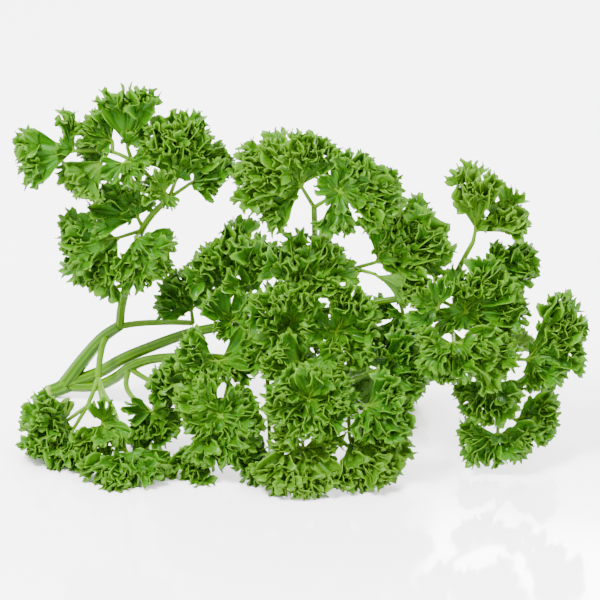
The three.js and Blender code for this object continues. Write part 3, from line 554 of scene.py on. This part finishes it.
def stem_material(settings):
    """Ribbed stalk: darker in the furrows, paler towards the leaves, and palest at the cut end."""
    material, tree, out = new_material("Parsley stalk")
    dark, pale = (*settings.furrow_green, 1), (*settings.rib_green, 1)
    ribbed = mix_colour(tree, ranged(tree, attribute(tree, "rib"), 0.2, 0.8, 0.0, 1.0), dark, pale)
    leafwards = ranged(tree, attribute(tree, "along"), 0.3, 1.0, 0.0, 0.75)
    paler = mix_colour(tree, leafwards, ribbed, (*settings.twig_green, 1))
    mottled = mix_colour(tree, ranged(tree, noise(tree, 260.0, 3.0), 0.35, 0.7, 0.0, 0.35), paler, dark)
    colour = mix_colour(tree, attribute(tree, "cut"), mottled, (*settings.cut_colour, 1))
    roughness = ranged(tree, noise(tree, 400.0), 0.3, 0.7, 0.18, 0.3)
    surface = shine(tree, colour, noise(tree, 700.0, 3.0, 0.6), 0.35, 0.2 * MM, roughness, STALK_GLOSS)
    tree.links.new(surface, out.inputs["Surface"])
    return material


def shared(name, make, settings):
    return bpy.data.materials.get(name) or make(settings)


# Stalks


def stem_routes():
    """Every stem of the bunch as (radius first, radius last, share along the bunch, points)."""
    routes = []
    for name, (first, last, places) in STALKS.items():
        start = 0.0 if name == "crown" else min(1.0, max(0.0, 1 - first / STOUTEST) + 0.1)
        routes.append((first, last, start, [at(p) for p in places]))
    for start, join, leaves in SPRAYS.values():
        begin, end = at(start), at(join)
        routes.append((TWIG_RADIUS, TWIG_END_RADIUS, TWIG_ALONG, [begin, (begin + end) / 2, end]))
        for tip, _, _, _ in leaves:
            inside = end + (at(tip) - end) * (LEAF_STEM_SHARE + LEAF_STEM_OVERLAP)
            points = [end, (end + inside) / 2, inside]
            routes.append((LEAF_STEM_RADIUS, LEAF_STEM_END_RADIUS, LEAF_STEM_ALONG, points))
    return routes


def smooth(points, radii, step):
    """Even points on a centripetal curve through the given ones, and their radii."""
    ghost = [2 * points[0] - points[1], *points, 2 * points[-1] - points[-2]]
    knots = [0.0]
    for a, b in zip(ghost, ghost[1:]):
        knots.append(knots[-1] + math.sqrt(max(np.linalg.norm(b - a), 1e-9)))
    path = []
    for i in range(1, len(ghost) - 2):
        t0, t1, t2, t3 = knots[i - 1 : i + 3]
        p0, p1, p2, p3 = ghost[i - 1 : i + 3]
        for t in np.linspace(t1, t2, SPAN_POINTS, endpoint=False):
            a1 = p0 * (t1 - t) / (t1 - t0) + p1 * (t - t0) / (t1 - t0)
            a2 = p1 * (t2 - t) / (t2 - t1) + p2 * (t - t1) / (t2 - t1)
            a3 = p2 * (t3 - t) / (t3 - t2) + p3 * (t - t2) / (t3 - t2)
            b1 = a1 * (t2 - t) / (t2 - t0) + a2 * (t - t0) / (t2 - t0)
            b2 = a2 * (t3 - t) / (t3 - t1) + a3 * (t - t1) / (t3 - t1)
            path.append(b1 * (t2 - t) / (t2 - t1) + b2 * (t - t1) / (t2 - t1))
    path.append(points[-1])
    path = np.array(path)
    run = np.concatenate(([0.0], np.cumsum(np.linalg.norm(np.diff(path, axis=0), axis=1))))
    count = max(3, int(run[-1] / step) + 1)
    even = np.linspace(0, run[-1], count)
    places = np.stack([np.interp(even, run, path[:, k]) for k in range(3)], axis=1)
    return places, radii[0] + (radii[1] - radii[0]) * (even / run[-1])


def routes_curve(step):
    curve = bpy.data.curves.new("stem_routes", "CURVE")
    curve.dimensions = "3D"
    starts = []
    for first, last, start, points in stem_routes():
        places, radii = smooth(points, (first * MM, last * MM), step)
        line = curve.splines.new("POLY")
        line.points.add(len(places) - 1)
        line.points.foreach_set("co", np.column_stack([places, np.ones(len(places))]).ravel())
        line.points.foreach_set("radius", radii)
        starts.append(start)
    return curve, starts


def stem_tree(material):
    """Geometry nodes: a ribbed tube along every curve, as thick as the curve's radius."""
    tree = bpy.data.node_groups.new("Ribbed stems", "GeometryNodeTree")
    for title, kind, value in (
        ("Geometry", "NodeSocketGeometry", None),
        ("Ribs", "NodeSocketInt", 8),
        ("Rib height", "NodeSocketFloat", 0.065),
    ):
        socket = tree.interface.new_socket(title, in_out="INPUT", socket_type=kind)
        if value is not None:
            socket.default_value = value
    tree.interface.new_socket("Geometry", in_out="OUTPUT", socket_type="NodeSocketGeometry")
    given, out = tree.nodes.new("NodeGroupInput"), tree.nodes.new("NodeGroupOutput")
    ring = add(tree, "GeometryNodeCurvePrimitiveCircle", mode="RADIUS")
    sides = maths(tree, "MULTIPLY", given.outputs["Ribs"], POINTS_PER_RIB)
    feed(tree, ring, {"Resolution": sides, "Radius": 1.0})
    index = add(tree, "GeometryNodeInputIndex").outputs[0]
    angle = maths(tree, "MULTIPLY", maths(tree, "DIVIDE", index, POINTS_PER_RIB), 2 * math.pi)
    wave = feed(tree, add(tree, "ShaderNodeMath", operation="COSINE"), {0: angle}).outputs[0]
    lift = maths(tree, "MULTIPLY", wave, given.outputs["Rib height"])
    place = add(tree, "GeometryNodeInputPosition").outputs[0]
    push = feed(tree, add(tree, "ShaderNodeVectorMath", operation="SCALE"), {0: place, "Scale": lift})
    ribbed = add(tree, "GeometryNodeSetPosition")
    feed(tree, ribbed, {"Geometry": ring.outputs[0], "Offset": push.outputs[0]})
    named = add(tree, "GeometryNodeStoreNamedAttribute", data_type="FLOAT", domain="POINT")
    half = add(tree, "ShaderNodeMath", operation="MULTIPLY_ADD")
    feed(tree, half, {0: wave, 1: 0.5, 2: 0.5})
    feed(tree, named, {"Geometry": ribbed.outputs[0], "Name": "rib", "Value": half.outputs[0]})
    tube = add(tree, "GeometryNodeCurveToMesh")
    radius = add(tree, "GeometryNodeInputRadius")
    feed(tree, tube, {"Curve": given.outputs["Geometry"], "Profile Curve": named.outputs[0]})
    feed(tree, tube, {"Fill Caps": True})
    if "Scale" in tube.inputs:
        feed(tree, tube, {"Scale": radius.outputs[0]})
    solid = add(tree, "GeometryNodeRealizeInstances")
    feed(tree, solid, {"Geometry": tube.outputs[0]})
    painted = add(tree, "GeometryNodeSetMaterial")
    feed(tree, painted, {"Geometry": solid.outputs[0], "Material": material})
    tree.links.new(painted.outputs[0], out.inputs[0])
    return tree


def evaluated_mesh(source, name):
    """The plain mesh of an object once its modifiers are worked out; the source is removed."""
    bpy.context.view_layer.update()
    seen = source.evaluated_get(bpy.context.evaluated_depsgraph_get())
    mesh = bpy.data.meshes.new_from_object(seen)
    mesh.name = name
    source.modifiers.clear()
    bpy.data.objects.remove(source)
    return mesh


def link(name, mesh):
    piece = bpy.data.objects.new(name, mesh)
    bpy.context.scene.collection.objects.link(piece)
    return piece


def set_input(modifier, title, value):
    for item in modifier.node_group.interface.items_tree:
        if item.item_type == "SOCKET" and item.in_out == "INPUT" and item.name == title:
            modifier[item.identifier] = value
            return
    raise KeyError(title)


def float_attribute(mesh, name, values):
    layer = mesh.attributes.get(name) or mesh.attributes.new(name, "FLOAT", "POINT")
    layer.data.foreach_set("value", np.asarray(values, dtype=np.float32))


def keep_in_place(mesh, soft):
    """Draws in what would reach past the part's own box, and lays down what would reach below the table.

    What is soft is pressed together over this height above the table, and so keeps its thickness.
    """
    places = np.empty(len(mesh.vertices) * 3)
    mesh.vertices.foreach_get("co", places)
    places = places.reshape(-1, 3)
    low, high = (np.array(corner) for corner in SOLID_BOX)
    inside = np.clip(places, low, high)
    places[:, :2] = (inside + (places - inside) * PAST_BOX)[:, :2]
    height = places[:, 2]
    if soft:
        places[:, 2] = np.where(height < soft, soft * np.exp(np.minimum(height / soft - 1, 0)), height)
    else:
        places[:, 2] = np.maximum(height, 0.0)
    mesh.vertices.foreach_set("co", places.ravel())


# Leaflets


def margin_lift(turn, place, share, cup, half, settings):
    """How far a blade bends up, in radians: its cup, and the dip of each lobe between its cuts."""
    return cup * turn**2 * half + settings.lobe_wave * np.cos(2 * np.pi * place) * share**1.2


def draws(spread, seed, apart, count):
    return np.array([spread * spread_draw(seed + apart * k) for k in range(count)])


def blade_grid(own, lobes, teeth, columns, rings, seed, settings):
    """The points of a toothed and ruffled blade, ring by ring, and the vein at each column."""
    root, along, up, side, reach, half, cup = own
    count = lobes * HALVES * teeth
    turn = np.linspace(-1, 1, columns + 1)
    place = (turn + 1) / 2 * lobes
    lobe = np.minimum(place.astype(int), lobes - 1)
    within = place - lobe
    inner = np.sin(np.pi * within) ** LOBE_FULLNESS
    tilt = inner * draws(LOBE_TILT, seed, 13, lobes)[lobe]
    grown = 1 + inner * draws(LOBE_LENGTH_SPREAD, seed + 50, 17, lobes)[lobe]

    tooth = place * HALVES * teeth
    number = np.minimum(tooth.astype(int), count - 1)
    across = tooth - number
    long = 1 + draws(TOOTH_LENGTH_SPREAD, seed + 90, 29, count)[number]
    curl = draws(1, seed + 70, 37, count)[number]
    finger = np.interp(np.where(turn < 0, 1 - across, across), (0.0, TOOTH_PEAK, 1.0), (0.0, 1.0, 0.0))
    margin = np.interp(within, LOBE_PLACES, LOBE_REACH) * (1 - SIDE_SHORTER * turn**2) * grown
    margin = margin + settings.tooth_depth * 2 * half / count * (finger * long - TOOTH_CUT_IN)

    share = np.array(rings)[:, None]
    pleat = 2 * half / (lobes * HALVES)
    phase = 2 * np.pi * (place * HALVES * WAVES_PER_HALF + draw(seed + 3))
    lift = margin_lift(turn, place, share, cup, half, settings) + tilt * share
    lift = lift + settings.ruffle * pleat * np.cos(phase) * share**2
    lift = lift + settings.crimp * pleat / teeth * np.cos(np.pi * tooth) * share**3
    outer = np.clip((share - TIP_CURL_FROM) / (1 - TIP_CURL_FROM), 0, 1) ** 2
    lift = lift + settings.tip_curl / reach * (TIP_CURL_LEAST + curl) * outer * finger
    angle = turn * half + settings.fold * pleat * np.sin(2 * phase) * share**3
    length = reach * (FIRST_WIDTH + (1 - FIRST_WIDTH) * share) * (1 + (margin - 1) * share)
    grid = (
        root
        + along * (length * np.cos(lift) * np.cos(angle))[..., None]
        + side * (length * np.cos(lift) * np.sin(angle))[..., None]
        + up * (length * np.sin(lift))[..., None]
    )
    middle = number % teeth == teeth // 2
    vein = np.clip(1 - np.abs(across - 0.5) * 4, 0, 1) * np.where(middle, 1, SIDE_VEIN)
    return grid, vein


def thickened(grid, thick):
    """A sheet as a closed solid of this thickness: the points of its two faces, and the quads."""
    normal = np.cross(np.gradient(grid, axis=0), np.gradient(grid, axis=1))
    normal /= np.maximum(np.linalg.norm(normal, axis=2, keepdims=True), 1e-12)
    top, bottom = grid + normal * thick / 2, grid - normal * thick / 2
    index = np.arange(grid.shape[0] * grid.shape[1]).reshape(grid.shape[:2])
    low = index + index.size
    loop = np.concatenate([index[0, :-1], index[:-1, -1], index[-1, :0:-1], index[:0:-1, 0]])
    after = np.roll(loop, -1)
    faces = [
        np.stack([index[:-1, :-1], index[1:, :-1], index[1:, 1:], index[:-1, 1:]], axis=-1).reshape(-1, 4),
        np.stack([low[:-1, :-1], low[:-1, 1:], low[1:, 1:], low[1:, :-1]], axis=-1).reshape(-1, 4),
        np.stack([loop, after, after + index.size, loop + index.size], axis=-1),
    ]
    return np.concatenate([top.reshape(-1, 3), bottom.reshape(-1, 3)]), np.concatenate(faces)


def blade(own, lobes, teeth, tooth_columns, rings, seed, settings):
    """One blade as (vertices, faces, shares from its base, vein, lower face)."""
    columns = lobes * HALVES * teeth * tooth_columns
    grid, vein = blade_grid(own, lobes, teeth, columns, rings, seed, settings)
    share = np.array(rings)[:, None]
    thick = settings.blade_thickness * (1 + THICKER_BASE * (1 - share) ** 3)
    places, faces = thickened(grid, thick[..., None])
    flat = np.ones(grid.shape[:2])
    shares, veins = np.tile((flat * share).ravel(), 2), np.tile((flat * vein).ravel(), 2)
    return places, faces, shares, veins, np.repeat((0.0, 1.0), flat.size)


def leaf_frame(join, leaf):
    """The frame of a leaflet's blade, from where its spray's stems join."""
    tip, face, degrees, cup = leaf
    along = at(tip) - join
    root = join + along * BLADE_START
    reach = np.linalg.norm(along) * (1 - BLADE_START)
    along = along / np.linalg.norm(along)
    up = towards(face)
    up = up - along * up.dot(along)
    up /= np.linalg.norm(up)
    return BladeFrame(root, along, up, np.cross(up, along), reach, math.radians(degrees) / 2, cup)


def curl_frames(whole, seed, settings):
    """Where the curls of one leaflet stand, as (frame, how far out on the blade)."""
    root, along, up, side, reach, half, cup = whole
    frames = []
    away = reach - CURL_INSIDE
    row = 0
    bare = CURL_BARE_LEAST + CURL_BARE_SPREAD * draw(seed + 7) ** 2
    while away > bare * reach:
        wide = 2 * half * away
        count = max(1, round(wide / CURL_GAP))
        for k in range(count):
            own = seed + 131 * row + 17 * k
            turn = ((k + 0.5) / count * 2 - 1) * CURL_TURN_MOST + CURL_TURN_SPREAD * spread_draw(own + 1)
            share = away / reach
            lift = margin_lift(turn, (turn + 1) / 2 * LOBES, share, cup, half, settings)
            angle = turn * half
            out = along * math.cos(angle) + side * math.sin(angle)
            start = root + (out * math.cos(lift) + up * math.sin(lift)) * away
            yaw = angle + CURL_YAW_SPREAD * spread_draw(own + 2)
            out = along * math.cos(yaw) + side * math.sin(yaw)
            rise = lift + settings.curl_rise * (1 - CURL_FLATTER_OUT * share)
            rise += CURL_RISE_SPREAD * spread_draw(own + 3)
            if row == 0 and k % CURL_HANGS_OF == 1:
                rise = 2 * lift - rise
            way = out * math.cos(rise) + up * math.sin(rise)
            face = up * math.cos(rise) - out * math.sin(rise)
            roll = CURL_ROLL_SPREAD * spread_draw(own + 4)
            face = face * math.cos(roll) + np.cross(way, face) * math.sin(roll)
            size = settings.curl_size * (1 + CURL_SIZE_SPREAD * spread_draw(own + 5))
            bend = CURL_CUP_LEAST + CURL_CUP_SPREAD * draw(own + 6)
            curl = BladeFrame(start, way, face, np.cross(face, way), size, CURL_HALF, bend)
            frames.append((curl, share))
        away -= CURL_ROW
        row += 1
    return frames


def hub_frames(frames, seed, settings):
    """Curls that fill the corners between neighbouring leaflets, close to where they join."""
    up = sum(one.up for one in frames)
    up /= np.linalg.norm(up)
    first = np.cross(up, frames[0].along)
    first /= np.linalg.norm(first)
    second = np.cross(first, up)
    turned = sorted(
        (math.atan2(one.along.dot(first), one.along.dot(second)), k) for k, one in enumerate(frames)
    )
    corners = []
    for (before, a), (after, b) in zip(turned, turned[1:] + turned[:1]):
        between = (after - before) % (2 * math.pi)
        if len(frames) > 1 and HUB_LEAST < between < HUB_MOST:
            middle = before + between / 2
            flat = second * math.cos(middle) + first * math.sin(middle)
            start = (frames[a].root + frames[b].root) / 2
            rise = HUB_RISE + HUB_RISE_SPREAD * spread_draw(seed + 19 * a)
            way = flat * math.cos(rise) + up * math.sin(rise)
            face = up * math.cos(rise) - flat * math.sin(rise)
            size = min(settings.curl_size, (frames[a].reach + frames[b].reach) / 4)
            corners.append(BladeFrame(start, way, face, np.cross(face, way), size, CURL_HALF, HUB_CUP))
    return corners


def curl_blade(own, seed, settings):
    return blade(own, CURL_LOBES, CURL_TEETH, CURL_TOOTH_COLUMNS, CURL_RINGS, seed, settings)


def leaflet(whole, seed, settings):
    """A leaflet's blade and its curls, each as (vertices, faces, attributes)."""
    arc = 2 * whole.half * whole.reach
    teeth = min(MOST_TEETH, max(2, round(arc / (LOBES * HALVES * TOOTH))))
    tint = TINT + TINT_SPREAD * spread_draw(seed + 5)
    blades = [(blade(whole, LOBES, teeth, TOOTH_COLUMNS, RINGS, seed, settings), 0.0, tint)]
    for number, (place, share) in enumerate(curl_frames(whole, seed + 311, settings)):
        own = seed + 401 + 61 * number
        curl = curl_blade(place, own, settings)
        fresh = tint + CURL_FRESHER + CURL_TINT_SPREAD * spread_draw(own + 5)
        blades.append((curl, CURL_START + CURL_START_OUT * share, fresh))
    return [coloured(*one) for one in blades]


def coloured(own, start, tint):
    """A blade with the values that its colour is made from."""
    places, faces, reach, vein, lower = own
    shares = start + (1 - start) * reach
    return places, faces, {"vein": vein, "reach": shares, "tint": np.full(len(places), tint), "under": lower}


def spray_mesh(name, settings):
    number = list(SPRAYS).index(name)
    seed = SPRAY_SEEDS * number
    _, join, leaves = SPRAYS[name]
    frames = [leaf_frame(at(join), leaf) for leaf in leaves]
    blades = []
    for i, whole in enumerate(frames):
        blades += leaflet(whole, seed + LEAFLET_SEEDS * i, settings)
    for i, corner in enumerate(hub_frames(frames, seed, settings)):
        own = curl_blade(corner, seed + HUB_SEEDS + i, settings)
        blades.append(coloured(own, HUB_START, HUB_TINT + HUB_TINT_SPREAD * draw(number + i)))
    places, faces, values, count = [], [], {}, 0
    for own_places, own_faces, own_values in blades:
        places.append(own_places)
        faces.append(own_faces + count)
        count += len(own_places)
        for key, value in own_values.items():
            values.setdefault(key, []).append(value)
    mesh = bpy.data.meshes.new("spray_" + name)
    mesh.from_pydata(np.concatenate(places).tolist(), [], np.concatenate(faces).tolist())
    for key, value in values.items():
        float_attribute(mesh, key, np.concatenate(value))
    float_attribute(mesh, "pale", np.full(count, PALE_SPRAYS.get(name, 0.0)))
    mesh.polygons.foreach_set("use_smooth", np.ones(len(mesh.polygons), dtype=bool))
    keep_in_place(mesh, PRESSED)
    mesh.update()
    return mesh


# What a user would change


def colour_property(name, description, default):
    return bpy.props.FloatVectorProperty(
        name=name, description=description, default=default, subtype="COLOR", size=3, min=0, max=1
    )


def length_property(name, description, default):
    return bpy.props.FloatProperty(name=name, description=description, default=default, unit="LENGTH")


def angle_property(name, description, default):
    return bpy.props.FloatProperty(name=name, description=description, default=default, subtype="ANGLE")


def share_property(name, description, default):
    return bpy.props.FloatProperty(name=name, description=description, default=default, subtype="FACTOR")


class ParsleyLeafSettings(bpy.types.PropertyGroup):
    blade_thickness: length_property("Blade thickness", "How thick a leaflet's blade is", 0.27 * MM)
    lobe_wave: angle_property("Lobe wave", "How far each lobe dips between its cuts", 0.17)
    ruffle: share_property("Ruffle", "How far the halves of a lobe wave, of their width", 0.45)
    fold: share_property("Fold", "How far the ruffles lean over sideways, of their width", 0.3)
    crimp: share_property("Crimp", "How far neighbouring teeth stand apart, of their width", 0.3)
    tip_curl: length_property("Tip curl", "How far the teeth curl at their ends", 1.2 * MM)
    tooth_depth: share_property("Tooth depth", "How deep the cuts between teeth go, of a tooth's width", 1.25)
    curl_size: length_property("Curl size", "Length of the small lobes that curl up from a blade", 7.2 * MM)
    curl_rise: angle_property("Curl rise", "How steeply the curls at the base of a blade stand", 0.42)
    deep_green: colour_property("Deep green", "Old, shaded leaf", (0.024, 0.14, 0.005))
    fresh_green: colour_property("Fresh green", "Young leaf", (0.044, 0.162, 0.003))
    vein_green: colour_property("Vein", "Veins and the base of a blade", (0.14, 0.26, 0.014))
    # Paler green of the tooth ends, which is partly a painted highlight.
    tip_green_and_highlight: colour_property("Tips", "Ends of the teeth", (0.14, 0.3, 0.012))
    under_green: colour_property("Underside", "Lower face of a blade", (0.07, 0.16, 0.012))


class ParsleyStemSettings(bpy.types.PropertyGroup):
    ribs: bpy.props.IntProperty(name="Ribs", description="Ribs round a stalk", default=8, min=3)
    rib_height: share_property("Rib height", "Height of a rib, of the radius", 0.065)
    step: length_property("Step", "Length of one step along a stalk", 1.8 * MM)
    rib_green: colour_property("Ribs", "Pale ribs of the stalks", (0.045, 0.12, 0.0008))
    furrow_green: colour_property("Furrows", "Between the ribs", (0.019, 0.065, 0.0004))
    twig_green: colour_property("Twigs", "Thin stems near the leaves", (0.085, 0.18, 0.006))
    cut_colour: colour_property("Cut end", "Fresh cut at the foot of the bunch", (0.2, 0.28, 0.05))


class ParsleyStageSettings(bpy.types.PropertyGroup):
    camera_distance: length_property("Camera distance", "From the middle of the view", 3.0)
    view_width: length_property("View width", "Width that the picture shows", 0.2)
    floor_colour: colour_property("Table", "Table top", (0.93, 0.93, 0.93))


# Operators


class PARSLEY_OT_stalks(bpy.types.Operator):
    """Make the cut crown, the stalks, the twigs and the leaflets' own stems"""

    bl_idname = "parsley.stalks"
    bl_label = "Stalks"

    def execute(self, context):
        settings = context.scene.parsley_stems
        material = shared("Parsley stalk", stem_material, settings)
        curve, starts = routes_curve(settings.step)
        source = link("stem_routes", curve)
        modifier = source.modifiers.new("Ribbed stems", "NODES")
        modifier.node_group = stem_tree(material)
        set_input(modifier, "Ribs", settings.ribs)
        set_input(modifier, "Rib height", settings.rib_height)
        shares = np.repeat(starts, [len(line.points) for line in curve.splines])
        ring = settings.ribs * POINTS_PER_RIB
        mesh = evaluated_mesh(source, "stalks")
        bpy.data.curves.remove(curve)
        if len(mesh.vertices) != len(shares) * ring:
            raise RuntimeError("the stems' tubes have an unexpected number of points")
        float_attribute(mesh, "along", np.repeat(shares, ring))
        places = np.empty(len(mesh.vertices) * 3)
        mesh.vertices.foreach_get("co", places)
        foot = at(STALKS["crown"][2][0])
        near = np.linalg.norm(places.reshape(-1, 3) - foot, axis=1) < CUT_REACH
        cut = near & (np.arange(len(near)) < ring)
        float_attribute(mesh, "cut", cut.astype(float))
        mesh.polygons.foreach_set("use_smooth", [len(p.vertices) < 5 for p in mesh.polygons])
        keep_in_place(mesh, 0.0)
        mesh.update()
        piece = link("stalks_ribbed", mesh)
        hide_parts("stalks")
        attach(piece, "root")
        return {"FINISHED"}


def make_sprays(context, start):
    settings = context.scene.parsley_leaves
    material = shared("Parsley leaf", leaf_material, settings)
    for name in SPRAYS:
        if name.split("_")[0] in start:
            mesh = spray_mesh(name, settings)
            mesh.materials.append(material)
            piece = link("leaves_" + name, mesh)
            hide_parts("spray_" + name)
            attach(piece, "root")
    return {"FINISHED"}


class PARSLEY_OT_tall_sprays(bpy.types.Operator):
    """Make the sprays of the tall stalk and of its branch that drops in front"""

    bl_idname = "parsley.tall_sprays"
    bl_label = "Tall stalk's sprays"

    def execute(self, context):
        return make_sprays(context, ("tall", "drop"))


class PARSLEY_OT_middle_sprays(bpy.types.Operator):
    """Make the sprays of the crest and of the middle of the bunch"""

    bl_idname = "parsley.middle_sprays"
    bl_label = "Middle sprays"

    def execute(self, context):
        return make_sprays(context, ("crest", "side", "centre", "left", "front", "back"))


class PARSLEY_OT_right_sprays(bpy.types.Operator):
    """Make the sprays at the end of the long stalk"""

    bl_idname = "parsley.right_sprays"
    bl_label = "Right-hand sprays"

    def execute(self, context):
        return make_sprays(context, ("right",))


class PARSLEY_OT_studio(bpy.types.Operator):
    """Make the glossy pale table, the soft lights and the camera"""

    bl_idname = "parsley.studio"
    bl_label = "Studio"

    def execute(self, context):
        settings = context.scene.parsley_stage
        table = bpy.data.meshes.new("table")
        corners = ((-1, -1), (1, -1), (1, 1), (-1, 1))
        table.from_pydata([(TABLE_REACH * x, TABLE_REACH * y, 0) for x, y in corners], [], [(0, 1, 2, 3)])
        material = bpy.data.materials.new("Table top")
        material.use_nodes = True
        shine = material.node_tree.nodes["Principled BSDF"]
        shine.inputs["Base Color"].default_value = (*settings.floor_colour, 1)
        shine.inputs["Roughness"].default_value = TABLE_ROUGHNESS
        shine.inputs["IOR"].default_value = TABLE_IOR
        table.materials.append(material)
        top = link("table", table)
        top.location.z = -TABLE_DROP

        world = bpy.data.worlds.new("Studio")
        world.use_nodes = True
        sky = world.node_tree.nodes["Background"]
        sky.inputs["Color"].default_value = (1, 1, 1, 1)
        sky.inputs["Strength"].default_value = SKY_STRENGTH
        context.scene.world = world

        middle = Vector(at((0, VIEW_MIDDLE_UP, MIDDLE_BACK)))
        for name, (place, size, power) in LIGHTS.items():
            light = bpy.data.lights.new(name, "AREA")
            light.energy, light.size = power, size
            lamp = bpy.data.objects.new(name, light)
            lamp.location = place
            lamp.rotation_euler = (middle - Vector(place)).to_track_quat("-Z", "Y").to_euler()
            context.scene.collection.objects.link(lamp)

        camera = bpy.data.cameras.new("camera")
        camera.sensor_width = SENSOR
        camera.lens = SENSOR * settings.camera_distance / settings.view_width
        camera.clip_end = 2 * settings.camera_distance
        eye = bpy.data.objects.new("camera", camera)
        look = Vector((0, COS, -SIN))
        eye.location = middle - look * settings.camera_distance
        eye.rotation_euler = look.to_track_quat("-Z", "Y").to_euler()
        context.scene.collection.objects.link(eye)
        context.scene.camera = eye
        return {"FINISHED"}


OPERATORS = (
    PARSLEY_OT_studio,
    PARSLEY_OT_stalks,
    PARSLEY_OT_tall_sprays,
    PARSLEY_OT_middle_sprays,
    PARSLEY_OT_right_sprays,
)


class PARSLEY_PT_panel(bpy.types.Panel):
    bl_idname = "PARSLEY_PT_panel"
    bl_label = "Parsley bunch"
    bl_space_type = "VIEW_3D"
    bl_region_type = "UI"
    bl_category = "Parsley"

    def draw(self, context):
        for operator in OPERATORS:
            self.layout.operator(operator.bl_idname)
        scene = context.scene
        for settings in (scene.parsley_leaves, scene.parsley_stems, scene.parsley_stage):
            box = self.layout.box()
            for name in settings.__annotations__:
                box.prop(settings, name)


CLASSES = (ParsleyLeafSettings, ParsleyStemSettings, ParsleyStageSettings, *OPERATORS, PARSLEY_PT_panel)


def register():
    for kind in CLASSES:
        bpy.utils.register_class(kind)
    bpy.types.Scene.parsley_leaves = bpy.props.PointerProperty(type=ParsleyLeafSettings)
    bpy.types.Scene.parsley_stems = bpy.props.PointerProperty(type=ParsleyStemSettings)
    bpy.types.Scene.parsley_stage = bpy.props.PointerProperty(type=ParsleyStageSettings)


def unregister():
    for name in ("parsley_leaves", "parsley_stems", "parsley_stage"):
        delattr(bpy.types.Scene, name)
    for kind in reversed(CLASSES):
        bpy.utils.unregister_class(kind)


def main():
    register()
    bpy.ops.parsley.studio()
    bpy.ops.parsley.stalks()
    bpy.ops.parsley.tall_sprays()
    bpy.ops.parsley.middle_sprays()
    bpy.ops.parsley.right_sprays()


if __name__ == "__main__":
    main()
